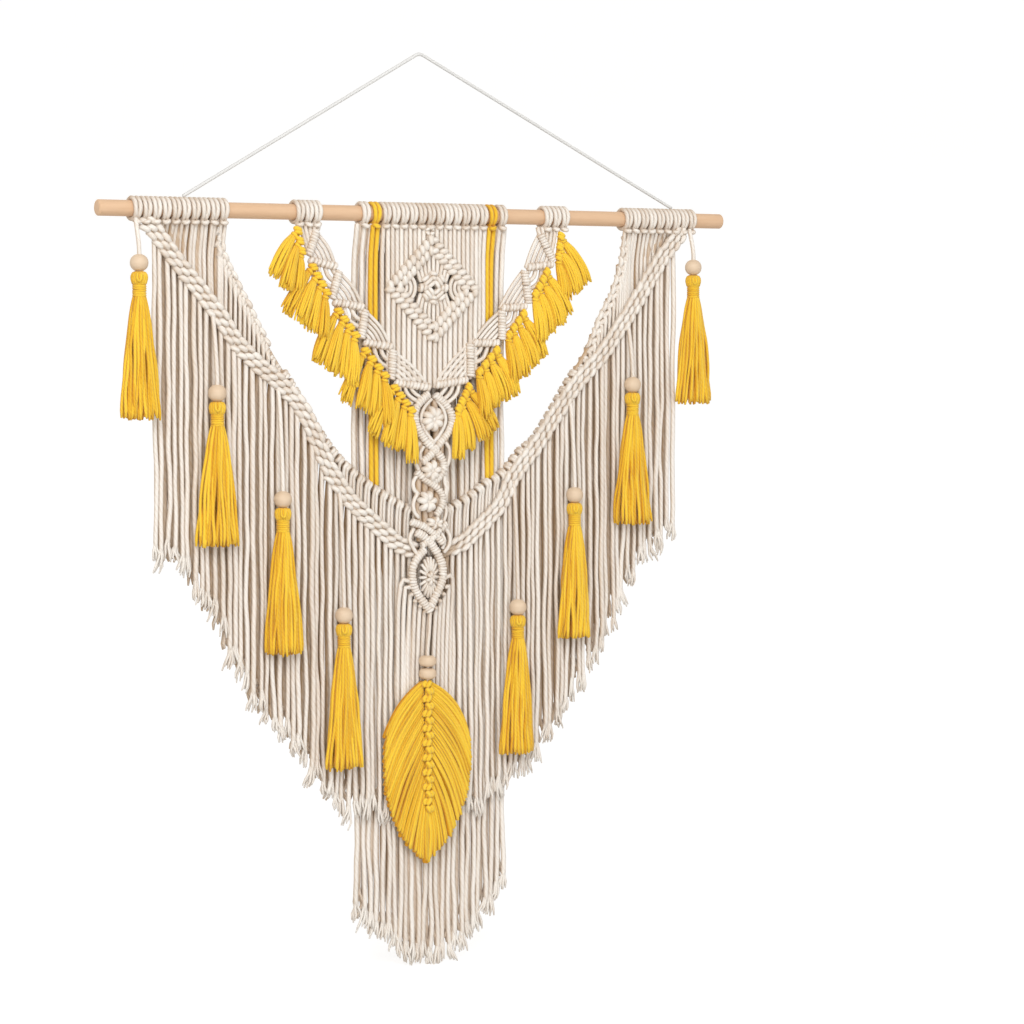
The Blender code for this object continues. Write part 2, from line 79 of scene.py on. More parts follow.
# Cords: sizes, tones and spacing.
CORD = 2.45  # radius of a common cotton cord
LAY = 9.0  # length of one turn of a cord's twist, in radii
PLIES = 3
PLY_RELIEF = 0.0002  # of the plies, in metres
PAINTED_SHADE = -1.6  # painted shade: tone of cords that lie behind others, painted deep as their shade
TONE_OF_CORD = 0.36  # how much a cord's own tone counts
PAINTED_SIDE_SHADE = 0.85  # how much paler a cord is where it faces front or back, so that painted shade deepens its sides
SWAY_WAVES = ((34, 50, 0.16), (80, 120, 0.55), (160, 260, 0.8))  # shortest and longest wave, share
WING_PITCH = 7.2  # between the strands of a wing
WING_REACH = {"left": 306, "right": 298}  # x of a wing's outermost strand behind
CURTAIN_REACH = {"left": 312, "right": 304}  # x of the outermost strand of its curtain
BACK_PITCH = 7.3  # between the long back strands
BACK_SPAN = (-84, 91)  # x of the outermost of them
BELOW_HEADS = -12  # z where strands leave the lark's heads

# y of each layer, from the wall to the front.
BACK_Y = 5.0
INNER_Y = 3.4
WING_Y = 2.6
BRAID_Y = -4.5
CURTAIN_Y = -3.6
NET_Y = -6.0
BEAD_Y = -16.0
LEAF_Y = -13.0

ROD_RADIUS = 8.0
ROD_HALF = 370.0
BEAD_BORE = 1.7

# Rows of lark's heads: x of both ends and the number of heads.
HEAD_ROWS = {
    "wing_left": (-336, -232, 10),
    "small_left": (-158, -128, 3),
    "white_left": (-84, -71.4, 1),
    "yellow_left": (-71, -59.4, 1),
    "centre": (-59, 67, 12),
    "yellow_right": (67.4, 79, 1),
    "white_right": (79.4, 92, 1),
    "small_right": (136, 168, 3),
    "wing_right": (238, 332, 9),
}

# Centre line of each wing's braid, outer end first: x, z.
BRAIDS = {
    "left": ((-322, -12), (-312, -21), (-286, -53), (-264, -78), (-241, -105), (-225, -128), (-202, -150),
             (-172, -174), (-149, -199), (-117, -263), (-94, -292), (-67, -316), (-42, -336), (-16, -347)),
    "right": ((315, -12), (304, -23), (287, -42), (269, -67), (251, -93), (229, -122), (208, -147),
              (179, -174), (150, -210), (122, -246), (99, -272), (83, -300), (59, -322), (37, -339),
              (14, -347)),
}
# Centre line of each inner clove-hitch bar, from the dowel to the centre: x, z.
INNER_BARS = {
    "left": ((-239, -12), (-236, -44), (-228, -60), (-211, -91), (-198, -115), (-183, -141), (-159, -176),
             (-116, -239), (-86, -267), (-59, -285), (-32, -300), (2, -316)),
    "right": ((247, -12), (242, -42), (234, -69), (228, -82), (215, -105), (197, -141), (174, -173),
              (128, -236), (113, -246), (90, -269), (69, -279), (50, -292), (4, -313)),
}
# Lowest strand ends of the curtain of each wing: x, z.
CURTAIN_TIPS = {
    "left": ((-313, -335), (-297, -348), (-275, -364), (-250, -402), (-234, -439), (-203, -492), (-158, -544),
             (-130, -582), (-100, -613), (-62, -619), (-30, -616)),
    "right": ((306, -336), (262, -372), (243, -399), (211, -462), (159, -539), (120, -577), (93, -602),
              (50, -623), (24, -616)),
}
# Lowest ends of the long back strands: x, z.
BACK_TIPS = ((-88, -712), (-65, -736), (-42, -757), (-16, -772), (2, -777), (24, -773), (52, -751),
             (74, -733), (94, -706))

# Steps of the zigzag arms, as x, z: apex, end of the side bar, start and end of the level bar.
ARM_STEPS = {
    "left": (
        ((-135, -19), (-143.5, -43), (-143, -48), (-112, -54.5)),
        ((-109, -59), (-117.5, -86), (-115.5, -90), (-81, -95)),
        ((-79, -98), (-84, -126), (-80, -130.5), (-48, -135.5)),
        ((-47, -139), (-49, -168), (-45, -172), (-3, -177.5)),
    ),
    "right": (
        ((132, -19), (147, -45), (147, -49), (116, -53)),
        ((112, -57), (117, -90), (114, -94), (84, -95.5)),
        ((84, -99), (84.5, -128), (80, -132), (50, -131.5)),
        ((45, -133), (46, -166), (42, -170), (4, -175)),
    ),
}
# Cords of a step, as shares of its bars: the fan inside it and the round cords that carry it.
ARM_FAN = (0.3, 0.48, 0.66, 0.84, 1.02)
ARM_CARRIERS = (0.15, 0.4, 0.65, 0.9)
# Cords from the small heads to the first side bar: share of the bar, distance of the head from the middle.
ARM_HEAD_CORDS = ((0.1, 131), (0.3, 136), (0.5, 141), (0.7, 146), (0.9, 151))
DIAMOND = {"top": (0, -22), "right": (55, -77), "bottom": (1, -130), "left": (-54, -75)}
DIAMOND_MIDDLE = (1, -75)
# Turns of cord on the spokes of the diamond's knot, for even and odd spokes: distance out, half width.
DIAMOND_PETALS = (((10.0, 1.6), (14.6, 2.6)), ((4.8, 3.6), (9.4, 4.6), (13.8, 2.8)))
DIAMOND_ARCS = (5.2, 10.2, 15.2)  # radii of the cords that ring each side corner
DIAMOND_CORD_XS = (-19.5, -14.3, -9.2, -4.2, 1.0, 6.0, 11.0, 16.0, 21.0)

# Yellow fringe on the arms: x, z of the first and last knot, x, z of the first and last tip, number of locks.
FRINGES = {
    "left": (
        ((-157, -19), (-153, -39), (-187, -65), (-160, -80), 3),
        ((-140, -55), (-125, -80), (-171, -101), (-134, -126), 4),
        ((-111, -99), (-92, -123), (-137, -146), (-99, -174), 4),
        ((-80, -139), (-58, -164), (-105, -187), (-57, -213), 4),
        ((-46, -177), (-27, -200), (-74, -222), (-30, -253), 4),
    ),
    "right": (
        ((156, -20), (153, -42), (183, -66), (159, -86), 3),
        ((138, -58), (124, -81), (163, -104), (127, -128), 4),
        ((109, -102), (91, -124), (131, -147), (94, -172), 4),
        ((76, -140), (55, -162), (95, -184), (58, -206), 4),
        ((42, -178), (30, -200), (71, -221), (25, -248), 4),
    ),
}
FRINGE_ROOT_Y = -8.0
FRINGE_TIP_Y = -16.0
FRINGE_STRANDS = 22  # in a lock
FRINGE_OUTER = 15  # of them, in the outer ring
# Bends of a fringe strand: shares of the fall in x, y and z, then half width and half depth of the lock.
FRINGE_BENDS = ((0.42, 0.5, 0.32, 4.6, 3.6), (0.78, 0.9, 0.68, 5.9, 4.2))

# Tassels: how far the cap, the neck and the skirt begin below the bead's middle, and what the cap is made of.
TASSEL_CAP = 9.3
TASSEL_NECK = 19.5
TASSEL_SKIRT = 32
TASSEL_RIBS = 18
NECK_TURNS = 6
NECK_PITCH = 2.25
# Rings of strands in a tassel: number, share of its half width, and tone where it is fixed. The inner rings
# are painted deep as shade.
TASSEL_RINGS = ((26, 1.0, None), (20, 0.82, -0.8), (10, 0.4, PAINTED_SHADE))
# The loop on a tassel's cap: aside, forward and up from the cap's top.
TASSEL_LOOP = ((-1.5, 4.0, 0.0), (-2.0, 8.0, -2.6), (-1.7, 8.7, -6.4), (0, 8.6, -8.4), (1.7, 8.7, -6.4),
               (2.0, 8.0, -2.6), (1.5, 4.0, 0.0))

# Rows of stitches on a bar: offset, slant in degrees, length, radius, and shift in pitches.
BRAID_STITCHES = (
    (-6.0, 12, 10.8, 3.0, 0.5),
    (-0.3, 15, 10.4, 3.0, 0.0),
    (5.5, 5, 11.6, 3.2, 0.55),
)
BRAID_PITCH = 10.9
EDGE_STITCHES = (
    (2.6, 4, 10.6, 2.6, 0.3),
    (-2.3, -30, 9.6, 2.8, 0.8),
)
INNER_PITCH = 10.7
EDGE_END_Z = -158  # the inner bars carry a second row of stitches above this

# Wrapped bars of the centre column: half width, then x, z along it. Later rows lie over earlier ones.
COLUMN_BARS = (
    (4.2, ((3, -185), (14, -194), (21, -203), (22, -213), (17, -224), (8, -234), (-4, -246), (-14, -254))),
    (4.4, ((-5, -184), (-18, -195), (-22, -206), (-19, -219), (-9, -233), (3, -244), (10, -253), (11, -261),
           (6, -269), (-3, -275))),
    (4.0, ((-21, -264), (-11, -272), (3, -281), (9, -290), (8, -299), (1, -309))),
    (4.0, ((-28, -315), (-14, -320), (0, -329), (9, -338))),
    (3.8, ((13, -318), (6, -324), (-4, -333), (-16, -340))),
    (4.4, ((-13, -344), (-20, -351), (-26, -360), (-27.5, -370), (-26, -380), (-20, -391), (-12, -401),
           (-6, -408))),
    (4.6, ((-22, -326), (-13, -331), (-3, -341), (4, -351), (8.6, -363), (8.5, -376), (2.5, -389),
           (-5.5, -403))),
)
# Plain cords of the column: radius, then x, z along it.
COLUMN_CORDS = (
    (2.1, ((-1, -189), (-10, -198), (-14, -209), (-9, -223), (1, -235))),
    (2.1, ((5, -190), (13, -201), (15, -212), (9, -224), (1, -233))),
    (2.2, ((-17, -234), (-23, -243), (-22, -254), (-18, -263))),
    (2.0, ((-12, -238), (-17, -246), (-13, -254), (-8, -258))),
    (2.2, ((13, -232), (19, -242), (18, -252), (14, -262), (12, -272), (14, -282), (11, -292))),
    (2.0, ((10, -268), (16, -276), (15, -286), (12, -296), (14, -306), (11, -316))),
    (2.2, ((-19, -266), (-25, -274), (-24, -282), (-19, -287))),
    (2.2, ((-20, -286), (-25, -295), (-24, -305), (-19, -311))),
    (2.2, ((-25, -322), (-30, -332), (-25, -343), (-20, -350))),
    (2.2, ((12, -322), (18, -331), (17, -341), (11, -348))),
    (2.0, ((8, -328), (12, -336), (9, -344))),
    (2.3, ((-39, -174), (-38, -182), (-34, -188), (-24, -194))),
    (2.3, ((-32.5, -175), (-31, -181), (-27, -186), (-19, -191))),
    (2.2, ((-26, -175), (-23, -181), (-15, -187))),
    (2.3, ((32, -173), (31, -181), (27, -187), (17, -194))),
    (2.3, ((25, -174), (23.5, -180), (20, -185), (13, -190))),
    (2.2, ((18, -175), (15, -180), (9, -186))),
)
# Thick cords behind the knots of the column, painted deep as shade: x, z along each.
COLUMN_CORES = (
    ((-4, -188), (-6, -230), (-8, -260), (-10, -295), (-8, -335)),
    ((4, -188), (5, -230), (0, -260), (-3, -295), (-1, -335)),
    ((-11, -200), (-14, -230), (-16, -260), (-18, -295), (-16, -335)),
    ((11, -200), (11, -230), (8, -260), (5, -295), (8, -335)),
)
# Knot clusters of the column: x, z, half width, half height and number of petals.
COLUMN_CLUSTERS = (
    (-2, -210, 11.0, 11.5, 8),
    (-5, -263, 9.5, 10.0, 7),
    (-10, -295, 10.0, 10.0, 7),
    (-1, -317, 9.0, 6.5, 6),
    (-7, -374, 5.5, 6.5, 6),
)
# The short cords that fan out in the lowest leaf: x and z of their middle, number, half width, half height.
COLUMN_FAN = (-7, -373, 18, 11, 21)
# Cords that loop out of the lowest leaf of the column: x and z at the root, x where each hangs.
COLUMN_TAILS = ((-31, -376, -39.5), (-29.5, -382.5, -34), (-27, -389.5, -28), (-23.5, -396.5, -22),
                (-17.5, -402, -16.5), (-11, -407, -11), (-5, -410, -5.4), (1, -405, 2.7), (6, -398, 8),
                (10, -391, 13), (13, -384, 18.5), (13, -374, 23.5))
TAIL_END_Z = -612

# The hanging cord: where it is tied on the dowel, and its route over the nail.
HANGER_ENDS = ((-278, 0, 13.1), (305, 0, 13.1))
HANGER_TOP = (-9.0, 2.0, 165.0)
HANGER_BEND = 5.0
HANGER_RADIUS = 1.75

LEAF_X = -11.0
LEAF_SPINE = (-482, -618)
LEAF_KNOTS = 9
LEAF_REACH = {-1: 0.97, 1: 1.05}  # how far each side reaches, of the outline
LEAF_LAYERS = ((0.0, 36, 1.6), (2.8, 26, 2.3))  # depth behind the front, cords a side, radius; the back layer is painted deep as shade
LEAF_BENDS = ((0.25, 0.72, 1.8), (0.55, 1.0, 2.2), (0.8, 0.62, 1.2))  # share along, bow, forward
# Where the leaf's cords end, from its widest part to the tip: distance from the spine, z.
LEAF_OUTLINE = ((48, -534), (50, -550), (50.3, -566), (49.5, -581), (47, -597), (42, -615), (33, -634),
                (21, -651), (10, -661), (1, -669))
# The leaf's string, from the column through both beads: x, y, z.
LEAF_STRING = ((-6, -13, -406), (-8, -14.5, -428), (LEAF_X, BEAD_Y, -449), (LEAF_X, BEAD_Y, -480),
               (LEAF_X, LEAF_Y - 1, -487))

# Studio, in metres: floor and backdrop, the room's light, and the lamps: name, place, aim, size, power.
FLOOR_GAP = 0.004  # below the lowest strand
FLOOR_REACH = 9.0
FLOOR_RISE = 6.0
BACKDROP_HEIGHT = 12.0
FLOOR_GLOW = 0.66
ROOM_COLOUR = (1.0, 0.975, 0.945, 1)
ROOM_STRENGTH = 0.68
SOFTBOXES = (
    ("front_softbox", (-1.9, -2.9, 1.7), (0.0, 0.0, -0.5), 2.6, 80),
    ("low_softbox", (-0.6, -2.7, -1.3), (0.0, 0.0, -0.9), 2.4, 26),
)


# ---------------------------------------------------------------- points and paths

def at(x, y, z):
    return np.array((x, y, z), float)


def at_depth(rows, y):
    """Points of a table of x, z rows, all at one depth."""
    return [at(x, y, z) for x, z in rows]


def unit(vector):
    return vector / np.linalg.norm(vector)


def upward(vector):
    """The vector, turned round where it points down."""
    return vector if vector[2] > 0 else -vector


def in_frame(points):
    """The tables' millimetres, turned into the frame's metres."""
    return (points + DOWEL_MIDDLE) * MM


def box_of(node):
    """Both corners of a node's box, in the tables' millimetres."""
    return [np.array(corner) / MM - DOWEL_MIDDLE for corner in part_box(node)]


def point_on(rows, x):
    """z of a table of x, z rows at x."""
    xs, zs = zip(*sorted(rows))
    return float(np.interp(x, xs, zs))


def blend(a, b, start, end, value):
    """The point between a and b where value lies between start and end."""
    return a + (b - a) * (value - start) / (end - start)


def spread(low, high, pitch):
    """Numbers from low to high, about one pitch apart."""
    return np.linspace(low, high, max(2, round(abs(high - low) / pitch) + 1))


def resample(path, step):
    """The same path with points at even steps."""
    lengths = np.concatenate([[0], np.cumsum(np.linalg.norm(np.diff(path, axis=0), axis=1))])
    targets = np.linspace(0, lengths[-1], max(2, round(lengths[-1] / step) + 1))
    return np.stack([np.interp(targets, lengths, path[:, k]) for k in range(3)], axis=1)


def curve_through(points, step):
    """A smooth path through the points, at even steps. Uneven distances between them make no loops."""
    points = np.array(points, float)
    if len(points) == 2:
        return resample(points, step)
    padded = np.concatenate([[2 * points[0] - points[1]], points, [2 * points[-1] - points[-2]]])
    gaps = np.sqrt(np.linalg.norm(np.diff(padded, axis=0), axis=1))
    knots = np.concatenate([[0], np.cumsum(gaps)])
    dense = []
    for k in range(1, len(padded) - 2):
        for t in np.linspace(knots[k], knots[k + 1], 9)[:-1]:
            rows = []
            for j in (k - 1, k, k + 1):
                rows.append(blend(padded[j], padded[j + 1], knots[j], knots[j + 1], t))
            early = blend(rows[0], rows[1], knots[k - 1], knots[k + 1], t)
            late = blend(rows[1], rows[2], knots[k], knots[k + 2], t)
            dense.append(blend(early, late, knots[k], knots[k + 1], t))
    dense.append(points[-1])
    return resample(np.array(dense), step)


def directions(path, loop=False):
    """Unit tangents of a path."""
    if loop:
        steps = np.roll(path, -1, axis=0) - np.roll(path, 1, axis=0)
    else:
        steps = np.gradient(path, axis=0)
    return steps / np.linalg.norm(steps, axis=1)[:, None]


def swaying(path, rng, amount):
    """The path with slow sideways waves that grow from its top, and faint short ones."""
    length = np.concatenate([[0], np.cumsum(np.linalg.norm(np.diff(path, axis=0), axis=1))])
    grow = np.minimum(1, length / 50) * (0.5 + 0.5 * length / max(length[-1], 1))
    moved = path.copy()
    for axis in (RIGHT, BACK):
        waves = [(rng.uniform(low, high), share) for low, high, share in SWAY_WAVES]
        for wave, share in waves:
            turn = 2 * math.pi * (length / wave + rng.random())
            moved += np.outer(np.sin(turn) * grow * amount * share * rng.uniform(0.5, 1.1), axis)
    return moved


# ---------------------------------------------------------------- meshes

def place(obj, slot, *nodes):
    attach(obj, "root")
    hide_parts(*nodes)


def add_object(name, points, faces, material, sharp_degrees=None):
    """A smooth mesh object in the scene. Edges past sharp_degrees stay sharp."""
    mesh = bpy.data.meshes.new(name)
    mesh.from_pydata([tuple(point) for point in points], [], faces)
    mesh.shade_smooth()
    if sharp_degrees:
        mesh.set_sharp_from_angle(angle=math.radians(sharp_degrees))
    mesh.materials.append(material)
    obj = bpy.data.objects.new(name, mesh)
    bpy.context.scene.collection.objects.link(obj)
    return obj


def turned(profile, sides, spot, closed=False):
    """Points and faces of a turned profile, rows of reach and height. spot(a, b, height) places a point."""
    points, faces = [], []
    rows = len(profile)
    for reach, height in profile:
        for k in range(sides):
            turn = 2 * math.pi * k / sides
            points.append(spot(reach * math.cos(turn), reach * math.sin(turn), height))
    for i in range(rows if closed else rows - 1):
        for k in range(sides):
            j, m = (i + 1) % rows, (k + 1) % sides
            faces.append((i * sides + k, j * sides + k, j * sides + m, i * sides + m))
    return points, faces


class Yarn:
    """One mesh in the making: tubes with UVs that run round and along each cord, and for each cord a tone
    with painted shade in it.
    """

    def __init__(self, seed):
        self.rng = random.Random(seed)
        self.points = []
        self.quads = []
        self.caps = []
        self.quad_uvs = []
        self.cap_uvs = []
        self.tones = []
        self.count = 0

    def cord(self, points, step, radius, **options):
        """A tube along the smooth path through the points."""
        self.tube(curve_through(points, step), radius, **options)

    def tube(self, path, radius, sides=8, across=BACK, loop=False, tone=None):
        """A cord along path. radius is one number, or one a point. across is never along the path."""
        path = np.asarray(path, float)
        rings = len(path)
        tangents = directions(path, loop)
        first = np.cross(tangents, across)
        first /= np.linalg.norm(first, axis=1)[:, None]
        second = np.cross(tangents, first)
        radii = np.broadcast_to(np.asarray(radius, float), (rings,))
        turns = np.arange(sides) * 2 * math.pi / sides
        ring = (np.cos(turns)[None, :, None] * first[:, None, :]
                + np.sin(turns)[None, :, None] * second[:, None, :])
        points = path[:, None, :] + ring * radii[:, None, None]
        rows = np.arange(rings if loop else rings - 1)
        i, k = np.meshgrid(rows, np.arange(sides), indexing="ij")
        j, m = (i + 1) % rings, (k + 1) % sides
        quads = np.stack([i * sides + k, i * sides + m, j * sides + m, j * sides + k], axis=-1)
        closing = path[:1] if loop else path[:0]
        steps = np.linalg.norm(np.diff(np.concatenate([path, closing]), axis=0), axis=1)
        along = np.concatenate([[0], np.cumsum(steps)]) / (LAY * radii.mean()) + self.rng.random()
        u0, u1 = k / sides, (k + 1) / sides
        v0, v1 = along[i], along[i + 1]
        self.points.append(points.reshape(-1, 3))
        self.quads.append(quads.reshape(-1, 4) + self.count)
        self.quad_uvs.append(np.stack([u0, v0, u1, v0, u1, v1, u0, v1], axis=-1).reshape(-1, 2))
        base = self.count
        self.count += rings * sides
        if not loop:
            for row, sign in ((0, -1), (rings - 1, 1)):
                tip = path[row] + tangents[row] * radii[row] * 0.5 * sign
                self.cap(tip, base + row * sides, sides, sign, along[row])
        # The cord's own tone, random or given, gets painted shade on its sides.
        own = self.rng.random() if tone is None else tone
        self.add_tones(ring[:, :, 1].reshape(-1), own, 0 if loop else 2)

    def cap(self, tip, base, sides, sign, along):
        """A low cone that closes one end of a tube."""
        k = np.arange(sides)
        a, b = base + k, base + (k + 1) % sides
        top = np.full(sides, self.count)
        self.points.append(tip[None])
        self.caps.append(np.stack([a, b, top] if sign > 0 else [b, a, top], axis=-1))
        self.cap_uvs.append(np.tile([[0, along], [0.1, along], [0.05, along + 0.02]], (sides, 1)))
        self.count += 1

    def add_tones(self, outward, tone, ends):
        """Painted shade: paler where the cord faces front or back, so its sides are deeper. A cord painted
        deep as shade is deep only on its front.
        """
        own = np.where(outward > 0.3, max(tone, 0.3), tone)
        facing = np.abs(outward) ** 0.7
        tips = np.full(ends, TONE_OF_CORD * tone + 0.5)
        self.tones.append(np.concatenate([TONE_OF_CORD * own + PAINTED_SIDE_SHADE * facing, tips]))

    def piece(self, name, material, slot, *nodes):
        """The finished object, riding on the frame in place of the nodes."""
        faces = np.concatenate(self.quads).tolist()
        uvs = list(self.quad_uvs)
        if self.caps:
            faces += np.concatenate(self.caps).tolist()
            uvs += self.cap_uvs
        obj = add_object(name, in_frame(np.concatenate(self.points)).tolist(), faces, material)
        uv_layer = obj.data.uv_layers.new(name="cord")
        uv_layer.data.foreach_set("uv", np.concatenate(uvs).astype(np.float32).ravel())
        # The attribute holds each cord's own tone with painted shade on its sides and on cords behind others.
        tone = obj.data.attributes.new("tone", "FLOAT", "POINT")
        tone.data.foreach_set("value", np.concatenate(self.tones).astype(np.float32))
        place(obj, slot, *nodes)
        return obj


# ---------------------------------------------------------------- materials

class Nodes:
    """Short calls for building one material's node tree. A value is a number, a colour or a socket."""

    def __init__(self, name):
        self.material = bpy.data.materials.new(name)
        self.material.use_nodes = True
        self.tree = self.material.node_tree

    def feed(self, node, inputs):
        """Sets or links a node's inputs, given as pairs of socket and value."""
        for key, value in inputs:
            if isinstance(value, bpy.types.NodeSocket):
                self.tree.links.new(value, node.inputs[key])
            else:
                node.inputs[key].default_value = value

    def new(self, kind, inputs=(), output=0, **settings):
        node = self.tree.nodes.new(kind)
        for key, value in settings.items():
            setattr(node, key, value)
        self.feed(node, inputs)
        return node.outputs[output]

    def math(self, operation, *values):
        return self.new("ShaderNodeMath", enumerate(values), operation=operation)

    def weighted(self, share, rows):
        """The share and the sum of rows: how far each value is from its middle, times its weight."""
        for value, middle, weight in rows:
            part = self.math("MULTIPLY", self.math("SUBTRACT", value, middle), weight)
            share = self.math("ADD", share, part)
        return share

    def blend(self, share, a, b):
        return self.new("ShaderNodeMix", ((0, share), (6, (*a, 1)), (7, (*b, 1))), 2, data_type="RGBA")

    def noise(self, vector, scale, detail, roughness=0.5):
        inputs = (("Vector", vector), ("Scale", scale), ("Detail", detail), ("Roughness", roughness))
        return self.new("ShaderNodeTexNoise", inputs, "Fac")

    def place(self):
        return self.new("ShaderNodeTexCoord", output="Object")

    def clamped(self, value):
        return self.new("ShaderNodeClamp", ((0, value),))

    def scaled(self, value, low, high):
        """The value spread from 0..1 to low..high."""
        return self.new("ShaderNodeMapRange", (("Value", value), ("To Min", low), ("To Max", high)))

    def bump(self, height, distance, strength=1.0, *normal):
        inputs = [("Distance", distance), ("Strength", strength), ("Height", height)]
        return self.new("ShaderNodeBump", inputs + [("Normal", value) for value in normal])

    def surface(self, **inputs):
        """The finished material. Each word names a socket of its shader, with _ for a space."""
        shader = self.tree.nodes["Principled BSDF"]
        self.feed(shader, [(name.replace("_", " "), value) for name, value in inputs.items()])
        return self.material


def cotton(name, pale, deep):
    """Twisted cotton: plies that wind round the cord and fine fibres, deeper where the tone is low, which
    holds painted shade. Its ply grooves are painted a little deeper as shade.
    """
    n = Nodes(name)
    uv = n.new("ShaderNodeUVMap", uv_map="cord")
    round_it, along = (n.new("ShaderNodeSeparateXYZ", ((0, uv),), output) for output in (0, 1))
    twist = n.math("MULTIPLY", n.math("ADD", round_it, along), PLIES)
    ply = n.math("ABSOLUTE", n.math("SINE", n.math("MULTIPLY", twist, math.pi)))
    crown = n.math("POWER", ply, 0.5)
    tone = n.new("ShaderNodeAttribute", output="Fac", attribute_name="tone")
    spot = (n.math("MULTIPLY", twist, 5.0), n.math("MULTIPLY", along, 1.5), n.math("MULTIPLY", tone, 0.5))
    streak = n.noise(n.new("ShaderNodeCombineXYZ", enumerate(spot)), 1.0, 3.0)
    fuzz = n.noise(n.place(), 1400.0, 3.0, 0.65)
    cloud = n.noise(n.place(), 18.0, 2.0)
    # crown paints shade into the grooves between the plies; streak and cloud are the cotton's own uneven
    # tone.
    rows = ((crown, 0.7, 0.18), (streak, 0.3, 0.5), (cloud, 0.5, 0.25))
    colour = n.blend(n.clamped(n.weighted(n.math("MULTIPLY", tone, 0.8), rows)), deep, pale)
    plies_up = n.bump(n.math("ADD", crown, n.math("MULTIPLY", streak, 0.5)), PLY_RELIEF)
    return n.surface(Base_Color=colour, Roughness=n.scaled(fuzz, 0.82, 1.0), Specular_IOR_Level=0.15,
                     Sheen_Weight=0.3, Sheen_Roughness=0.5, Normal=n.bump(fuzz, 0.00012, 0.8, plies_up))


def wood(name, pale, deep, along, rings, gloss):
    """Sanded wood: long grain along one axis, growth rings, and short fine pores."""
    n = Nodes(name)
    stretched = n.new("ShaderNodeMapping", (("Vector", n.place()), ("Scale", along)))
    grain = n.noise(stretched, rings, 5.0, 0.6)
    pores = n.noise(stretched, rings * 5, 3.0, 0.7)
    share = n.math("ADD", n.math("MULTIPLY", grain, 1.1), n.math("MULTIPLY", pores, 0.35))
    colour = n.blend(n.clamped(n.math("SUBTRACT", share, 0.25)), deep, pale)
    return n.surface(Base_Color=colour, Roughness=n.scaled(pores, gloss, gloss + 0.2),
                     Specular_IOR_Level=0.35, Normal=n.bump(pores, 0.00008, 0.6))


# ---------------------------------------------------------------- cords and knots

def hang(yarn, x, z_top, z_end, y_top, y, radius, sway, frayed=True, step=7.0, tone=None, sides=8):
    """A hanging cord that leaves its knot at y_top and settles in its own layer."""
    settle = min(30.0, (z_top - z_end) * 0.4)
    stop = z_end + (11 if frayed else 0)
    route = [at(x, y_top, z_top), at(x, (y_top + y) / 2, z_top - settle / 2), at(x, y, z_top - settle),
             at(x, y, stop)]
    path = swaying(curve_through(route, step), yarn.rng, sway)
    tone = yarn.rng.random() if tone is None else tone
    radii = np.full(len(path), radius)
    if frayed:
        radii[-1] = radius * 0.8
        fray(yarn, path[-1] + UP * 5, unit(path[-1] - path[-2]), radius, tone, plies=6 if sides == 8 else 4)
    yarn.tube(path, radii, sides=sides, tone=tone)


def hang_behind(yarn, x, top, end, y, radius, tone=PAINTED_SHADE):
    """A plain thick strand that fills the gaps behind others, painted deep as their shade."""
    hang(yarn, x, top, end, -1, y, radius, sway=0.3, step=16, tone=tone, sides=6)


def fray(yarn, point, heading, radius, tone, plies=6):
    """The loosened end of a cord: its plies part, wave and spread into a small soft brush."""
    rng = yarn.rng
    lean = rng.uniform(-0.25, 0.25)
    reach = rng.uniform(0.85, 1.3)
    for k in range(plies):
        turn = 2 * math.pi * (k + rng.random() * 0.8) / plies
        out = at(math.cos(turn), 0.6 * math.sin(turn), 0)
        length = reach * rng.uniform(14, 21)
        flare = rng.uniform(0.5, 1.6) * radius
        curl = at(rng.uniform(-0.7, 0.7), rng.uniform(-0.4, 0.4), 0)
        side = RIGHT * lean * length
        start = point + out * radius * 0.5
        path = [start, start + heading * length * 0.35 + out * flare * 0.3 + curl,
                start + heading * length * 0.7 + out * flare * 0.9 - curl + side * 0.4,
                start + heading * length + out * flare + curl * 0.5 + side]
        radii = [radius * 0.5, radius * 0.56, radius * 0.52, radius * 0.28]
        yarn.tube(path, radii, sides=5, across=at(0.31, 0.95, 0.02), tone=tone + rng.uniform(0.2, 0.8))


def wrap(yarn, centre, along, width, depth, radius, lean, sides=7, steps=14, tone=None):
    """One turn of cord round a bar, tilted by lean."""
    across = unit(np.cross(along, BACK))
    tilted = across * width + along * lean
    angles = np.arange(steps) * 2 * math.pi / steps
    path = centre + np.outer(np.cos(angles), tilted) + np.outer(np.sin(angles), BACK * depth)
    yarn.tube(path, radius, sides=sides, across=unit(np.cross(tilted, BACK)), loop=True, tone=tone)


def hitch_bar(yarn, points, pitch, width, depth, radius, lean, core=2.4):
    """A bar of hitches: turns of cord side by side round a holding cord."""
    path = curve_through(points, 1.0)
    tangents = directions(path)
    turns = max(1, round(len(path) / pitch))
    for k in range(turns):
        i = min(len(path) - 1, int((k + 0.5) / turns * len(path)))
        size = yarn.rng.uniform(0.93, 1.07)
        centre = path[i] + FRONT * yarn.rng.uniform(-0.3, 0.3)
        wrap(yarn, centre, tangents[i], width * size, depth * size, radius, lean)
    yarn.tube(path[::3], core)


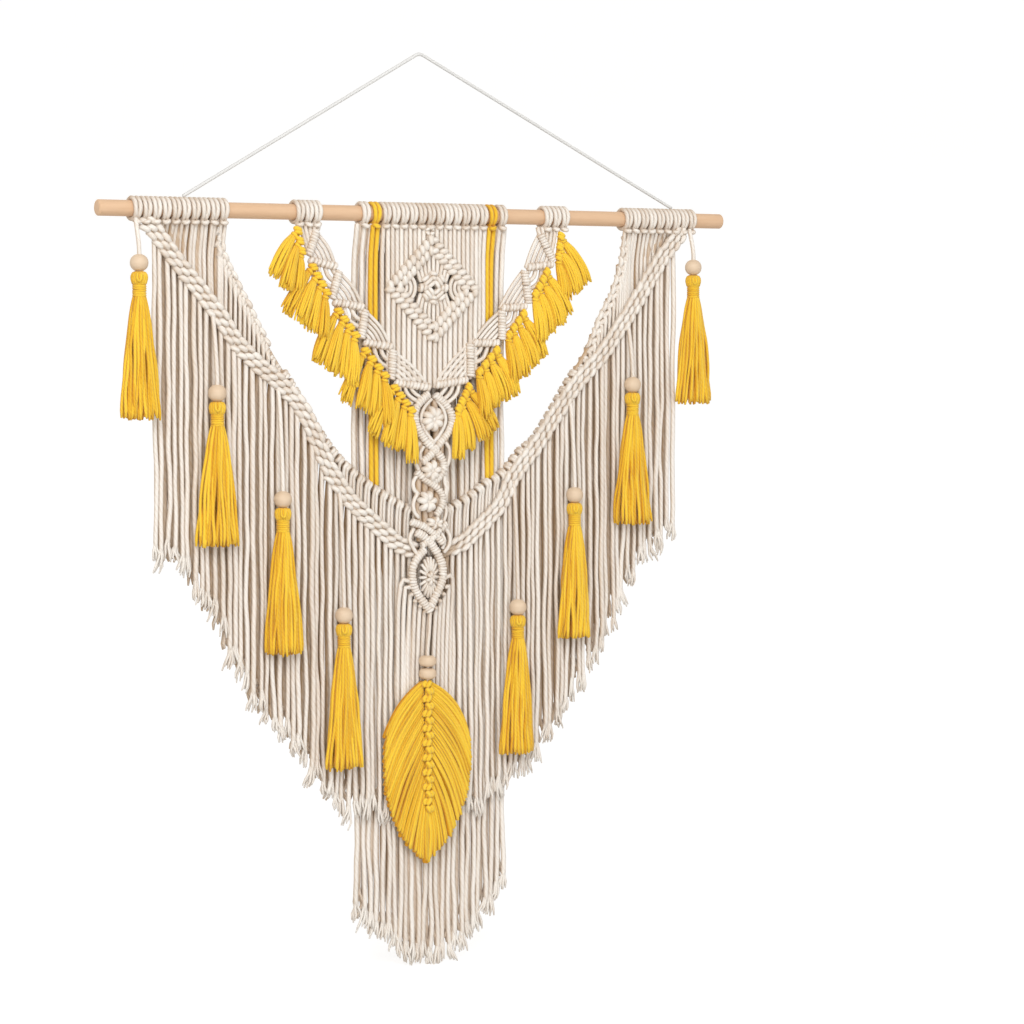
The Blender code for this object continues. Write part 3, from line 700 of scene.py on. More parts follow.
def stitches(yarn, points, rows, pitch, lean):
    """Rows of slanted stitches along a bar. Each rises from under the last one and dives under the next."""
    path = curve_through(points, 1.0)
    tangents = directions(path)
    rng = yarn.rng
    for offset, slant, length, radius, shift in rows:
        for k in range(int(len(path) / pitch)):
            i = min(len(path) - 1, int((k + shift) * pitch))
            along = tangents[i] if tangents[i][2] < 0 else -tangents[i]
            upper = upward(np.cross(along, BACK))
            turn = math.radians(lean * slant + rng.uniform(-7, 7))
            heading = along * math.cos(turn) + upper * math.sin(turn)
            centre = path[i] + upper * (offset + rng.uniform(-0.4, 0.4)) + FRONT * rng.uniform(-0.5, 0.5)
            stitch = [centre - heading * length * 0.5 + BACK * 2.6,
                      centre - heading * length * 0.28 + FRONT * 0.5,
                      centre + heading * length * 0.26 + FRONT * 1.0,
                      centre + heading * length * 0.5 + BACK * 2.4]
            route = curve_through(stitch, 1.8)
            swell = np.sin(np.linspace(0.8, math.pi - 0.8, len(route)))
            yarn.tube(route, radius * rng.uniform(0.94, 1.06) * swell, sides=9, across=upper + BACK * 0.3)


def knuckles(yarn, line, pitch, foot):
    """Hitches over a bar. Each cord comes over it from behind, bends down in front and hangs to foot(x)."""
    rng = yarn.rng
    spots = resample(curve_through(line, 2), pitch)
    for spot, heading in zip(spots, directions(spots)):
        upper = upward(np.cross(heading, BACK))
        steep = abs(heading[0]) < 0.72
        for side in (-1, 1):
            middle = spot + heading * side * 1.8 + FRONT * rng.uniform(-0.3, 0.3)
            x = spot[0] - upper[0] * 2.2 + side * (0.8 if steep else 1.8) * math.copysign(1, heading[0])
            end_z = foot(x) - 4
            leg = spot[2] - end_z > 14 and not (steep and side < 0)
            if spot[2] > EDGE_END_Z:
                over = [middle + FRONT * 1.0, middle - upper * 2.5 + FRONT * 2.0]
            else:
                over = [middle + upper * 3.2 + BACK * 3.0, middle + upper * 3.8 + FRONT * 1.0,
                        middle + upper * 1.2 + FRONT * 4.6, middle - upper * 1.9 + FRONT * 4.2]
            if leg:
                over += [at(x, spot[1] - 2.6, middle[2] - 8), at(x, spot[1] - 0.6, end_z)]
            else:
                over += [middle - upper * 3.6 + FRONT * 0.6]
            path = curve_through(over, 3.0 if leg else 2.0)
            radii = np.interp(np.arange(len(path)), (0, 3, 5), (2.3, 2.5, 1.8)) if leg else 2.4
            yarn.tube(path, radii, sides=8, across=unit(np.cross(upper, FRONT) + upper * 0.02))


def lark_head(yarn, x):
    """A lark's head on the dowel: two turns round it, drawn together by a bump below its front."""
    tone = yarn.rng.random()
    reach = ROD_RADIUS + 2.3
    angles = np.arange(28) * 2 * math.pi / 28
    pull = np.clip(-np.sin(angles), 0, 1) * np.clip(0.4 + np.cos(angles), 0, 1)
    for side in (-1, 1):
        middle = x + side * (2.5 - 1.2 * pull)
        ring = np.stack([middle, -reach * np.cos(angles), reach * np.sin(angles)], axis=1)
        yarn.tube(ring, 2.25, sides=9, across=RIGHT, loop=True, tone=tone)
    tilt = yarn.rng.uniform(-0.8, 0.8)
    bump = [at(x - 1.6, -4.0, -11.4), at(x - 2.2, -8.4, -12.6 - tilt), at(x, -10.2, -13.2),
            at(x + 2.2, -8.4, -12.6 + tilt), at(x + 1.6, -4.0, -11.4)]
    yarn.cord(bump, 1.5, 2.3, sides=9, across=UP, tone=tone)


def head_xs(name):
    start, end, heads = HEAD_ROWS[name]
    pitch = (end - start) / heads
    return [start + pitch * (k + 0.5) for k in range(heads)]


def head_row(yarn, name):
    for x in head_xs(name):
        lark_head(yarn, x)


def berry(yarn, centre, half_width, half_height, petals):
    """A flower-like cluster of knots: a round middle and petals about it."""
    rng = yarn.rng
    size = min(half_width, half_height)
    # The round middle is painted deep as the shade among the petals.
    core = [centre + UP * half_height * 0.7, centre - UP * half_height * 0.7]
    yarn.tube(core, half_width * 0.6, sides=10, tone=PAINTED_SHADE)
    for k in range(petals):
        turn = 2 * math.pi * (k + 0.3 + rng.uniform(-0.15, 0.15)) / petals
        reach = rng.uniform(0.85, 1.05)
        out = at(math.cos(turn) * half_width, 0, math.sin(turn) * half_height) * reach
        path = curve_through([centre + out * 0.3 + FRONT * 2.5, centre + out * 0.5 + FRONT * 5.2,
                              centre + out * 0.8 + FRONT * 4.0, centre + out * 0.98 + BACK * 0.5], 1.4)
        radius = size * 0.32 * (0.75 + 0.35 * np.sin(np.linspace(0.2, math.pi - 0.2, len(path))))
        yarn.tube(path, radius, sides=10, across=unit(np.cross(out, BACK)))
    button = [centre + FRONT * 4.6 - RIGHT * size * 0.1, centre + FRONT * 4.6 + RIGHT * size * 0.1]
    yarn.tube(button, size * 0.28, sides=10, across=UP)


def curtain_strand(yarn, x, top, end, y_top, y, thin=2.2):
    """A free strand, a little out of line and of its own thickness."""
    rng = yarn.rng
    shift = rng.uniform(-1.2, 1.2)
    depth = rng.uniform(-1.2, 1.2)
    hang(yarn, x + shift, top, end, y_top, y + depth, rng.uniform(thin, 2.85), sway=1.3)


# ---------------------------------------------------------------- pieces

def make_dowel(material):
    """The rod, turned finely, with softly rounded ends."""
    profile = [(0.0, -ROD_HALF), (5.2, -ROD_HALF)]
    for k in range(1, 6):
        turn = math.pi / 2 * k / 5
        profile.append((5.2 + 2.75 * math.sin(turn), -ROD_HALF + 1.8 * (1 - math.cos(turn))))
    profile += [(7.95, x) for x in np.linspace(-ROD_HALF + 12, 0, 10)]
    profile += [(r, -x) for r, x in reversed(profile[:-1])]
    points, faces = turned(profile, 64, lambda y, z, x: in_frame(at(x, y, z)))
    place(add_object("dowel_wood", points, faces, material, 50), "beech_dowel", "dowel")


def make_hanger(material):
    """The hanging cord, taut from the dowel over the nail and down again."""
    left, right = (np.array(end, float) for end in HANGER_ENDS)
    top = np.array(HANGER_TOP)
    into, out = unit(top - left), unit(right - top)
    before, after = top - into * HANGER_BEND, top + out * HANGER_BEND
    path = [left + (before - left) * k / 6 for k in range(7)]
    for t in (0.25, 0.5, 0.75):
        path.append((1 - t) ** 2 * before + 2 * t * (1 - t) * top + t * t * after)
    path += [after + (right - after) * k / 6 for k in range(7)]
    yarn = Yarn("hanger")
    yarn.tube(resample(np.array(path), 2.5), HANGER_RADIUS, sides=8)
    obj = yarn.piece("hanging_cord", material, "white_cord", "hanger_cord")


def make_main_panel(material):
    """Both wings and the long back strands, with a second layer in the gaps between them, painted deep as
    shade.
    """
    yarn = Yarn("main_panel")
    for name in ("wing_left", "white_left", "centre", "white_right", "wing_right"):
        head_row(yarn, name)
    for side in SIDES:
        wing(yarn, side)
    left, right = BACK_SPAN
    for x in spread(left, right, BACK_PITCH):
        end = point_on(BACK_TIPS, x) + yarn.rng.uniform(-6, 6)
        curtain_strand(yarn, x, BELOW_HEADS + 1, end, -3, BACK_Y - 2.4, 2.55)
    # The second layer, painted deep as the shade in the gaps.
    for x in spread(left + 3, right - 3, BACK_PITCH):
        end = point_on(BACK_TIPS, x) + yarn.rng.uniform(4, 22)
        hang_behind(yarn, x, BELOW_HEADS + 1, end, BACK_Y + 2.4, 3.5, tone=-1.1)
    yarn.piece("cream_panel", material, "cream_cotton", "main_panel")


def wing(yarn, side):
    """The strands of a wing down to its braid, and the inner bar that edges it."""
    sign, braid, inner = SIDES[side], BRAIDS[side], INNER_BARS[side]
    heads = head_xs(f"wing_{side}")
    for x in heads:
        for offset in (-2.4, 2.4):
            end = point_on(braid, x + offset) - 8
            if end < -34:
                x_end = x + offset + yarn.rng.uniform(-0.9, 0.9)
                hang(yarn, x_end, BELOW_HEADS, end, -5, WING_Y - 1, 2.15, sway=0.8, frayed=False)
    first_head, last_head = min(map(abs, heads)), max(map(abs, heads))
    # Thick strands behind the wing, painted deep as shade.
    for x in spread(22, WING_REACH[side], WING_PITCH):
        under_heads = first_head - 3 < x < last_head - 8
        top = BELOW_HEADS if under_heads else min(BELOW_HEADS, point_on(braid, sign * x) + 4)
        end = point_on(CURTAIN_TIPS[side], sign * x) + yarn.rng.uniform(4, 22)
        hang_behind(yarn, sign * x, top, end, WING_Y + 1.5, 3.6)
    edge = at_depth(inner, INNER_Y - 3.0)
    # The inner bar's holding cord, painted deep as shade.
    yarn.cord([p + BACK * 1.5 for p in edge], 6, 2.8, tone=PAINTED_SHADE)
    knuckles(yarn, edge, INNER_PITCH, lambda x: point_on(braid, x))
    upper_part = [p + FRONT * 0.6 for p in edge if p[2] > EDGE_END_Z]
    stitches(yarn, upper_part, EDGE_STITCHES, INNER_PITCH, -sign)
    # Thick cords behind, from the inner bar to the braid, painted deep as shade.
    for x in spread(21, 240, 6.8):
        top, end = point_on(inner, sign * x), point_on(braid, sign * x) - 2
        if top - end > 10:
            ends = at_depth(((sign * x, top), (sign * x, end)), INNER_Y + 1.8)
            yarn.tube(ends, 3.3, tone=PAINTED_SHADE)


def make_braid(side, material):
    """The thick hitched bar of a wing and its curtain of strands."""
    yarn = Yarn(f"braid_{side}")
    sign, line = SIDES[side], BRAIDS[side]
    for x in spread(25.6, CURTAIN_REACH[side], WING_PITCH):
        end = point_on(CURTAIN_TIPS[side], sign * x) + yarn.rng.uniform(-9, 9)
        curtain_strand(yarn, sign * x, point_on(line, sign * x), end, CURTAIN_Y, CURTAIN_Y)
    stitches(yarn, at_depth(line, BRAID_Y - 1.6), BRAID_STITCHES, BRAID_PITCH, -sign)
    # Cords behind the stitches, painted deep as shade.
    for rise in (-4.5, 0.0, 4.5):
        yarn.cord([at(x, BRAID_Y + 1.2, z + rise) for x, z in line], 6, 3.2, tone=PAINTED_SHADE)
    yarn.piece(f"wing_braid_{side}", material, "cream_cotton", f"braid_{side}")


def make_yellow_pair(side, material):
    """One yellow cord on the dowel, with two strands down to the inner bar."""
    yarn = Yarn(f"yellow_{side}")
    x = head_xs(f"yellow_{side}")[0]
    lark_head(yarn, x)
    for offset in (-2.8, 2.8):
        end = point_on(INNER_BARS[side], x) + 4
        hang(yarn, x + offset, BELOW_HEADS, end, -5, BACK_Y - 5.4, 2.7, sway=0.3, frayed=False)
    yarn.piece(f"yellow_cords_{side}", material, "yellow_cotton", f"yellow_pair_{side}")


def make_net(material):
    """The small heads, both arms and the diamond, with the strands in front."""
    yarn = Yarn("net")
    for name in ("small_left", "small_right"):
        head_row(yarn, name)
    for side in SIDES:
        arm(yarn, side)
    diamond(yarn)
    net_strands(yarn)
    yarn.piece("zigzag_and_diamond", material, "cream_cotton", "zigzag_net")


def arm(yarn, side):
    """One zigzag arm: bars in steps, a fan of cords in each step, and round cords below."""
    sign = SIDES[side]
    steps = [at_depth(step, NET_Y) for step in ARM_STEPS[side]]
    for number, (apex, low, corner, end) in enumerate(steps):
        for share in ARM_FAN:
            top, foot = corner + (apex - corner) * share, corner + (end - corner) * share
            bulge = at(-sign * 2.0 * share, -1.2, 1.5 * share)
            yarn.cord([top + BACK, (top + foot) / 2 + bulge, foot + BACK], 3, 2.0)
        if number < len(steps) - 1:
            next_apex, next_low = steps[number + 1][:2]
            for share in ARM_CARRIERS:
                a, b = end + (corner - end) * share, next_apex + (next_low - next_apex) * share
                bulge = at(sign * 6.5 * share, -0.8, -6.5 * share)
                yarn.cord([a + BACK, (a + b) / 2 + bulge, b + BACK], 3, 2.45)
        side_bar = [apex + FRONT * 2, (apex + low) / 2 + FRONT * 2.6, low + FRONT * 2]
        hitch_bar(yarn, side_bar, 3.0, 3.0, 2.8, 1.85, 0.5)
        hitch_bar(yarn, [corner + FRONT * 2, end + FRONT * 2], 4.4, 2.2, 2.2, 2.3, 0.8)


def diamond(yarn):
    """The diamond's double bars, its corner arcs and the four-petal knot in its middle."""
    middle = at(DIAMOND_MIDDLE[0], NET_Y, DIAMOND_MIDDLE[1])
    corners = at_depth([DIAMOND[name] for name in ("top", "right", "bottom", "left")], NET_Y)
    for shrink, forward in ((0.04, 1.8), (0.24, 1.2)):
        ends = [c + (middle - c) * shrink + FRONT * forward for c in corners]
        for a, b in zip(ends, ends[1:] + ends[:1]):
            hitch_bar(yarn, [a, b], 7.4, 2.3, 2.2, 3.3, 1.8)
    for turn in range(8):
        heading = at(math.cos(turn * math.pi / 4), 0, math.sin(turn * math.pi / 4))
        for reach, width in DIAMOND_PETALS[turn % 2]:
            spot = middle + heading * reach + FRONT * (3.0 - reach * 0.08)
            wrap(yarn, spot, heading, width, 2.4, 2.45, 0.5, sides=8)
    for x in DIAMOND_CORD_XS:
        for up in (1, -1):
            start = middle + at(x * 0.72, -0.5, (13 - abs(x) * 0.35) * up)
            end = middle + at(x, 0, (44 - abs(x)) * up)
            yarn.cord([start, middle + at(x, -0.6, 22 * up), end], 3, 2.2)
    for sign in (-1, 1):
        hole = middle + at(sign * 36, 0, 0)
        for radius in DIAMOND_ARCS:
            arc = []
            for turn in np.radians((-95, -60, -30, 0, 30, 60, 95)):
                arc.append(hole + at(-sign * math.cos(turn) * radius, -1.0, math.sin(turn) * radius))
            yarn.cord(arc, 2.2, 2.2)


def net_strands(yarn):
    """Cords in front: heads to the first side bars, heads to the diamond, and diamond to the arms."""
    for side, sign in SIDES.items():
        apex, low = at_depth(ARM_STEPS[side][0][:2], NET_Y)
        for share, x in ARM_HEAD_CORDS:
            path = [at(sign * x, -4, -11), at(sign * x, NET_Y, -16), apex + (low - apex) * share]
            yarn.cord(path, 3, 2.3)
    top, middle, bottom = DIAMOND["top"], DIAMOND_MIDDLE, DIAMOND["bottom"]
    for x in head_xs("centre"):
        for offset in (-2.6, 2.6):
            edge = abs(x + offset - middle[0])
            if edge < 53:
                end, y, sway = top[1] - 1 - edge, NET_Y, 0.25
            else:
                end, y, sway = -150 + edge * 0.3, NET_Y + 3, 0.3
            hang(yarn, x + offset, BELOW_HEADS, end, -6, y, 2.5, sway=sway, frayed=False)
    for x in spread(-51, 53, 6.1):
        edge = abs(x - middle[0])
        hang(yarn, x, bottom[1] + edge, -178 + edge * 0.2, NET_Y, NET_Y + 0.8, 2.75, sway=0.3, frayed=False)
    for across in (-2.7, 2.7):
        for rise in (-2.2, 2.2):
            spot = at(top[0] - 3 + across, NET_Y - 2, -17 + rise)
            wrap(yarn, spot, unit(at(0.5 * across, 0, rise)), 1.4, 1.6, 1.7, 0.3, sides=8, steps=12)


def column_y(z):
    """The front of the centre column, which stands a little further out below."""
    return float(np.interp(-z, (180, 240, 320), (-8.0, -11.5, -13.0)))


def column_path(rows, back=0.0):
    """Points of a table of x, z rows on the centre column, set back by the given depth."""
    return [at(x, column_y(z) + back, z) for x, z in rows]


def make_column(material):
    """The centre column: wrapped bars that cross, clusters between them, and the cords that hang from it."""
    yarn = Yarn("column")
    for width, rows in COLUMN_BARS:
        hitch_bar(yarn, column_path(rows), 3.1, width - 1.5, 2.4, 1.85, 0.6, core=width - 1.2)
    for radius, rows in COLUMN_CORDS:
        yarn.cord(column_path(rows, 0.8), 3, radius)
    for rows in COLUMN_CORES:
        yarn.cord(column_path(rows, 4.5), 6, 3.6, tone=PAINTED_SHADE)
    for x, z, width, height, petals in COLUMN_CLUSTERS:
        berry(yarn, at(x, column_y(z) + 0.5, z), width, height, petals)
    x, z, number, width, height = COLUMN_FAN
    hub = at(x, column_y(z) + 1, z)
    for turn in np.linspace(0, 2 * math.pi, number + 1)[:-1]:
        out = at(math.cos(turn) * width, 0, math.sin(turn) * height)
        yarn.tube([hub + out * 0.35 + FRONT * 2.2, hub + out * 0.7 + FRONT * 1.4, hub + out], 1.7, sides=7)
    for root_x, root_z, x in COLUMN_TAILS:
        front = column_y(root_z)
        shoulder = at(root_x * 0.25 + x * 0.75, front + 2.5, root_z + 1.5)
        path = [at(root_x, front + 0.5, root_z), shoulder, at(x, front + 5, root_z - 12),
                at(x, CURTAIN_Y - 1, root_z - 50), at(x, CURTAIN_Y, TAIL_END_Z + yarn.rng.uniform(-6, 6))]
        route = swaying(curve_through(path, 6), yarn.rng, 0.6)
        tone = yarn.rng.random()
        yarn.tube(route, CORD, tone=tone)
        fray(yarn, route[-1] + UP * 2, unit(route[-1] - route[-2]), CORD, tone)
    yarn.piece("centre_knots", material, "cream_cotton", "centre_column")


def make_fringe(side, number, material):
    """A short yellow bar of knots. From behind each, a lock of yarn leans out and then hangs."""
    yarn = Yarn(f"fringe_{side}_{number}")
    rng = yarn.rng
    *corners, count = FRINGES[side][number]
    ends = at_depth(corners[:2], FRINGE_ROOT_Y)
    tips = at_depth(corners[2:], FRINGE_TIP_Y)
    line = unit(ends[1] - ends[0])
    yarn.tube(np.array([ends[0] - line * 2, ends[1] + line * 2]), 2.2)
    for k in range(count):
        share = k / (count - 1)
        root = ends[0] + (ends[1] - ends[0]) * share
        tip = tips[0] + (tips[1] - tips[0]) * share + FRONT * (2.0 if k % 2 else -1.0)
        tip = tip + unit(tip - root) * rng.uniform(-2.5, 3.5)
        fringe_lock(yarn, root, tip, line, rng.uniform(0.0, 1.3))
    name = f"fringe_{side}_{number + 1}"
    yarn.piece(f"yellow_{name}", material, "yellow_cotton", name)


def fringe_lock(yarn, root, tip, line, tone):
    """A knot at the root, and strands in an outer ring and a thicker inner one down to the tip."""
    rng = yarn.rng
    fall = tip - root
    heading = unit(at(fall[0] * 1.1, fall[1], fall[2]))
    aside = unit(np.cross(unit(fall), BACK))
    for step in (-1.7, 1.7):
        spot = root + FRONT * 3.2 + line * step
        wrap(yarn, spot, line, 2.3, 2.1, 2.3, 1.3, sides=9, tone=tone + 0.5)
    neck = root + heading * 5.6 + FRONT * 1.2
    wrap(yarn, neck, heading, 2.6, 2.2, 1.9, 0.6, sides=8, steps=12, tone=tone + 0.3)
    for strand in range(FRINGE_STRANDS):
        turn = 2 * math.pi * (strand + rng.uniform(-0.3, 0.3)) / FRINGE_OUTER
        ring, thick = (1.0, 1.0) if strand < FRINGE_OUTER else (0.45, 1.5)
        out, deep = math.cos(turn) * ring, math.sin(turn) * ring
        path = [root + heading * 5 + aside * out * 2.4 + BACK * deep * 1.7]
        for across, forward, down, wide, thick_by in FRINGE_BENDS:
            spot = root + at(fall[0] * across, fall[1] * forward, fall[2] * down)
            path.append(spot + aside * out * wide + BACK * deep * thick_by)
        path.append(tip + aside * (out * 6.4 + rng.uniform(-1, 1)) + BACK * deep * 3.4
                    + UP * rng.uniform(-3, 4))
        route = swaying(curve_through(path, 4.5), rng, 1.0)
        route[0] = path[0]
        run = np.linspace(0, 1, len(route))
        radii = thick * np.interp(run, (0, 0.25, 0.85, 1), (1.0, 1.4, 1.5, 0.9))
        yarn.tube(route, radii, sides=6, tone=tone + rng.uniform(-0.5, 0.7))


def make_bead(node, material, flatness=0.93):
    """A turned bead in its node's place, drilled upright. Flatter ones have a longer straight side."""
    low, high = box_of(node)
    middle, half = (low + high) / 2, (high - low) / 2
    profile = []
    for k in range(21):
        turn = math.radians(10) + (math.pi - math.radians(20)) * k / 20
        rise = math.copysign(abs(math.cos(turn)) ** flatness, math.cos(turn))
        profile.append((half[0] * math.sin(turn) ** flatness, half[2] * 1.03 * rise))
    profile.append((BEAD_BORE, profile[-1][1] + 0.6))
    profile.insert(0, (BEAD_BORE, profile[0][1] - 0.6))
    points, faces = turned(profile, 40, lambda x, y, z: in_frame(middle + at(x, y, z)), closed=True)
    place(add_object(f"wooden_{node}", points, faces, material, 60), "bead_wood", node)


def make_string(name, points, radius, material, node):
    """A cream cord that a tassel or the leaf hangs on, threaded through the beads."""
    string = Yarn(name)
    string.cord(points, 5, radius)
    string.piece(name, material, "cream_cotton", node)


def make_tassel(side, number, yellow, cream):
    """A tassel: its cord through the bead, a looped cap, a wrapped neck and a full skirt."""
    node = f"tassel_{side}_{number}"
    bead_low, bead_high = box_of(f"bead_{side}_{number}")
    low, high = box_of(node)
    x, bead_z = (bead_low[0] + bead_high[0]) / 2, (bead_low[2] + bead_high[2]) / 2
    yarn = Yarn(node)
    middle = at(x, BEAD_Y, 0)
    cap_top = bead_z - TASSEL_CAP
    neck_top = bead_z - TASSEL_NECK
    for k in range(TASSEL_RIBS):
        turn = 2 * math.pi * (k + 0.5) / TASSEL_RIBS
        out = at(math.cos(turn), math.sin(turn) * 0.92, 0)
        rib = [middle + out * 2.0 + UP * cap_top, middle + out * 6.0 + UP * (cap_top - 1.0),
               middle + out * 7.3 + UP * (cap_top - 5), middle + out * 6.0 + UP * (neck_top - 0.5)]
        yarn.cord(rib, 2.0, 1.5, sides=6, across=np.cross(out, UP))
    for k in range(NECK_TURNS):
        spot = middle + UP * (neck_top - 0.8 - k * NECK_PITCH)
        wrap(yarn, spot, -UP, 5.7, 5.3, 1.45, yarn.rng.uniform(-0.3, 0.3), 6, 26)
    tassel_skirt(yarn, middle, bead_z - TASSEL_SKIRT, low[2], (high[0] - low[0]) / 2)
    facing = unit(at(-0.45, -1.0, 0))
    aside = np.cross(facing, UP)
    loop = [middle + aside * w + facing * d + UP * (cap_top + z) for w, d, z in TASSEL_LOOP]
    yarn.cord(loop, 1.6, 1.15, sides=7, tone=1.6)
    yarn.piece(f"yellow_{node}", yellow, "yellow_cotton", node)
    if number == 1:
        path = [at(x, -8.5, high[2])]
    else:
        path = [at(x, -3.5, high[2] + 3), at(x, -8.5, high[2] - 13)]
    path += [middle + UP * (bead_z + 16), middle + UP * bead_z, middle + UP * (cap_top - 1)]
    make_string(f"string_{node}", path, 2.3, cream, node)


def even_turn(share):
    """A turn on a flat oval three times wider than deep, for even steps along its rim."""
    turns = np.linspace(0, 2 * math.pi, 121)
    rim = np.concatenate([[0], np.cumsum(np.hypot(np.diff(3 * np.cos(turns)), np.diff(np.sin(turns))))])
    return float(np.interp((share % 1) * rim[-1], rim, turns))


def tassel_skirt(yarn, middle, neck_end, low_z, half_width):
    """Rings of strands from under the neck. Two and two share a lock at the top and part lower down."""
    rng = yarn.rng
    for ring, share, tone in TASSEL_RINGS:
        for k in range(ring):
            turn = even_turn((k + rng.uniform(-0.3, 0.3)) / ring)
            lock_turn = even_turn((k // 2 * 2 + 0.5) / ring)
            out = at(math.cos(turn), math.sin(turn), 0)
            lock = at(math.cos(lock_turn), math.sin(lock_turn), 0)
            reach = half_width * share * rng.uniform(0.92, 1.04)
            root = middle + at(lock[0] * 4.6 * share, lock[1] * 4.4 * share, neck_end + 3)
            shoulder = middle + at(lock[0] * (3.8 + reach * 0.2), lock[1] * 5.8 * share, neck_end - 10)
            knee = middle + at(out[0] * (1.6 + reach * 0.62), out[1] * 7.0 * share, neck_end - 55)
            end = middle + at(out[0] * reach, out[1] * 7.8 * share, low_z + rng.uniform(-1, 4))
            path = swaying(curve_through([root, shoulder, knee, end], 7), rng, 1.9)
            path[0] = root
            run = np.linspace(0, 1, len(path))
            radii = np.interp(run, (0, 0.2, 0.7, 0.95, 1), (1.3, 1.8, 1.65, 1.8, 1.1))
            yarn.tube(path, radii, sides=8, tone=rng.uniform(-0.6, 1.3) if tone is None else tone)


def make_leaf(yellow, cream):
    """The yellow feather: square knots down the spine, and fanned cords trimmed to the outline."""
    yarn = Yarn("leaf")
    top, low = LEAF_SPINE
    for layer in LEAF_LAYERS:
        for sign in (-1, 1):
            leaf_cords(yarn, sign, *layer)
    for k in range(2 * LEAF_KNOTS):
        z = top - 1 + (low - top + 6) * k / (2 * LEAF_KNOTS - 1)
        side = 1 if k % 2 else -1
        middle = at(LEAF_X, LEAF_Y - 3.0, z)
        bump = [middle + at(side * 2.2, -1.0, 2.4), middle + at(side * 5.0, -1.2, 0.6),
                middle + at(side * 4.0, -0.4, -2.4)]
        yarn.cord(bump, 1.5, 2.3, sides=9, tone=1.2)
        knot = [middle + at(-side * 1.8, -1.4, 2.6), middle + at(0, -2.8, 0),
                middle + at(side * 1.4, -1.4, -2.6)]
        yarn.cord(knot, 1.5, 2.5, sides=9, tone=0.9)
    yarn.tube(np.array([at(LEAF_X, LEAF_Y - 1, top + 2), at(LEAF_X, LEAF_Y - 1, -664)]), 2.3)
    yarn.piece("yellow_leaf", yellow, "yellow_cotton", "leaf")
    make_string("leaf_string", LEAF_STRING, 2.0, cream, "leaf")


def leaf_cords(yarn, sign, depth, count, radius):
    """The fanned cords of one side and layer, from the spine out and down to the trimmed edge."""
    rng = yarn.rng
    top, low = LEAF_SPINE
    outline = curve_through(at_depth(LEAF_OUTLINE, LEAF_Y), 1.0)
    for k in range(count):
        edge_share = (k + depth * 0.19) / (count - 0.6)
        share = edge_share ** 1.5
        lift = FRONT * (0.9 if k % 2 else -0.3)
        root = at(LEAF_X + sign * (3.6 - 2.6 * share), LEAF_Y + depth, top + 1 + (low - top) * share)
        edge = outline[min(len(outline) - 1, int(edge_share * len(outline)))]
        end = at(LEAF_X + sign * edge[0] * LEAF_REACH[sign], LEAF_Y + depth, edge[2])
        end = end + at(rng.uniform(-0.7, 0.7), rng.uniform(-0.6, 0.6), rng.uniform(-1.2, 1.2))
        span = end - root
        bow = unit(at(sign * -span[2], 0, abs(span[0]))) * (2.0 + 5.5 * (1 - share) ** 2)
        path = [root]
        for along, out, forward in LEAF_BENDS:
            path.append(root + span * along + bow * out + FRONT * forward + lift)
        route = swaying(curve_through([*path, end + lift], 4), rng, 0.8)
        route[0] = root
        radii = np.linspace(radius * 0.85, radius * 1.05, len(route))
        # Cords of the back layer are painted deep as shade; front ones differ in tone at random.
        yarn.tube(route, radii, sides=7, tone=PAINTED_SHADE if depth else rng.uniform(-0.5, 1.7))


# ---------------------------------------------------------------- stage, light and camera

def make_stage():
    """A pale floor just below the lowest strand, rising far away into a round backdrop."""
    floor_z = cad_bounds[0][2] - FLOOR_GAP
    profile = [(FLOOR_REACH * k / 6, floor_z) for k in range(7)]
    for k in range(1, 13):
        turn = math.pi / 2 * k / 12
        reach = FLOOR_REACH + FLOOR_RISE * math.sin(turn)
        profile.append((reach, floor_z + FLOOR_RISE * (1 - math.cos(turn))))
    profile.append((FLOOR_REACH + FLOOR_RISE, floor_z + BACKDROP_HEIGHT))
    points, faces = turned(profile, 96, lambda x, y, z: (x, y, z))
    n = Nodes("pale_floor")
    colour = n.blend(n.noise(n.place(), 1.2, 3.0), (0.50, 0.50, 0.50), (0.52, 0.52, 0.52))
    material = n.surface(Base_Color=colour, Roughness=0.9, Specular_IOR_Level=0.1,
                         Emission_Color=(1, 1, 1, 1), Emission_Strength=FLOOR_GLOW)
    obj = add_object("floor", points, [face[::-1] for face in faces], material)
    obj.visible_diffuse = False


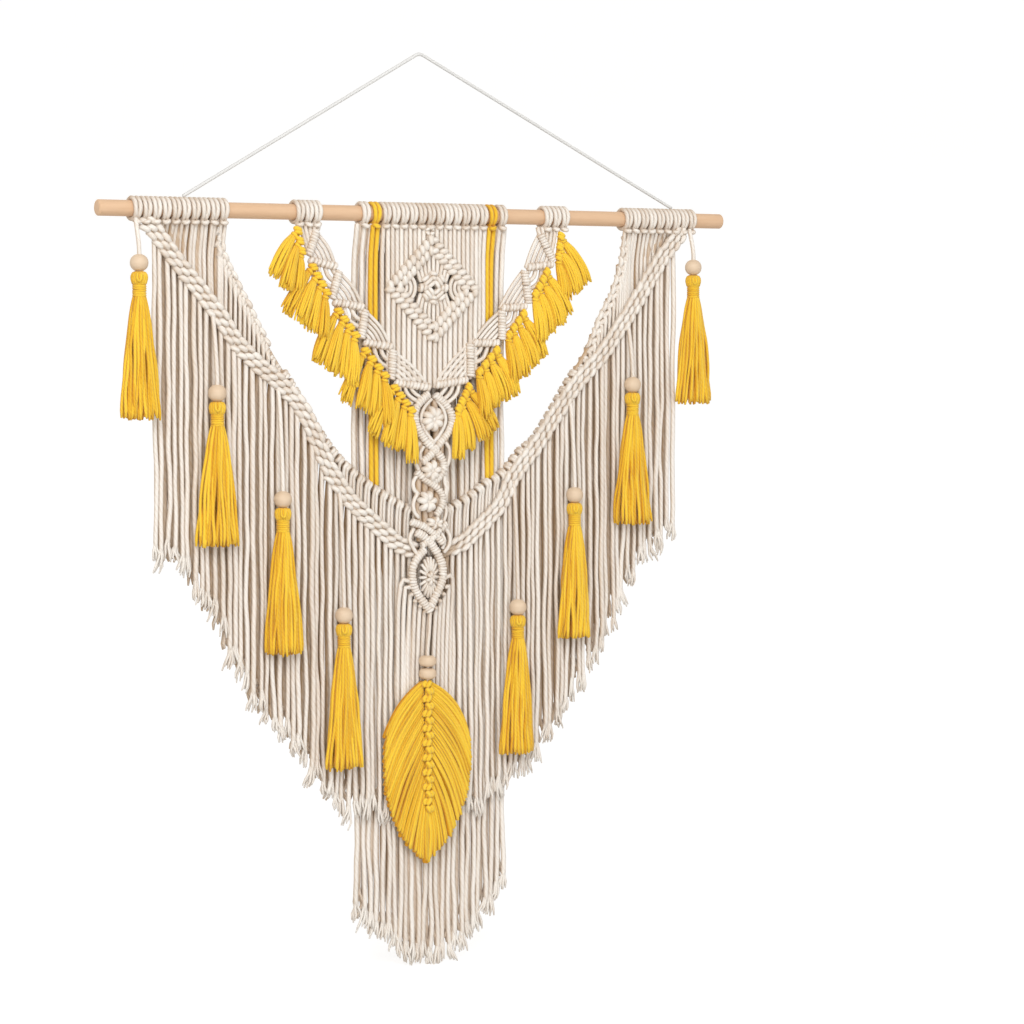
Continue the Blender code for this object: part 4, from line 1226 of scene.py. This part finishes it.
def area_light(name, place_at, aim, size, power):
    light = bpy.data.lights.new(name, "AREA")
    light.shape = "DISK"
    light.size = size
    light.energy = power
    obj = bpy.data.objects.new(name, light)
    obj.location = place_at
    heading = unit(np.array(aim, float) - np.array(place_at, float))
    yaw = math.atan2(heading[0], heading[1])
    obj.rotation_euler = (math.pi / 2 + math.asin(heading[2]), 0, -yaw)
    bpy.context.scene.collection.objects.link(obj)


def make_lights():
    """A wide warm-white room, a large softbox high on the left and a dimmer one low in front."""
    world = bpy.data.worlds.new("studio")
    world.use_nodes = True
    background = world.node_tree.nodes["Background"]
    background.inputs["Color"].default_value = ROOM_COLOUR
    background.inputs["Strength"].default_value = ROOM_STRENGTH
    bpy.context.scene.world = world
    for softbox in SOFTBOXES:
        area_light(*softbox)


def make_camera():
    camera = bpy.data.cameras.new("camera")
    camera.lens = CAMERA_LENS
    camera.sensor_width = 36.0
    camera.clip_end = 60.0
    obj = bpy.data.objects.new("camera", camera)
    obj.location = CAMERA_PLACE
    obj.rotation_euler = (math.radians(90 - CAMERA_DOWN), 0, math.radians(-CAMERA_YAW))
    bpy.context.scene.collection.objects.link(obj)
    bpy.context.scene.camera = obj


make_camera()
cream = cotton("cream_cotton", (0.85, 0.805, 0.745), (0.50, 0.34, 0.20))
white = cotton("white_cord", (0.76, 0.76, 0.75), (0.52, 0.52, 0.51))
yellow = cotton("yellow_cotton", (0.89, 0.59, 0.045), (0.60, 0.235, 0.001))
beech = wood("beech", (0.76, 0.53, 0.345), (0.64, 0.405, 0.24), (6, 90, 90), 3.0, 0.5)
bead_wood = wood("bead_wood", (0.745, 0.595, 0.435), (0.66, 0.49, 0.335), (30, 30, 160), 1.2, 0.38)
make_hanger(white)
make_dowel(beech)
make_main_panel(cream)
make_net(cream)
make_column(cream)
for side in SIDES:
    make_braid(side, cream)
    make_yellow_pair(side, yellow)
    for number in range(5):
        make_fringe(side, number, yellow)
    for number in range(1, 5):
        make_bead(f"bead_{side}_{number}", bead_wood)
        make_tassel(side, number, yellow, cream)
for node in ("leaf_bead_upper", "leaf_bead_lower"):
    make_bead(node, bead_wood, 0.7)
make_leaf(yellow, cream)
make_stage()
make_lights()
bpy.context.scene.view_settings.view_transform = "Standard"
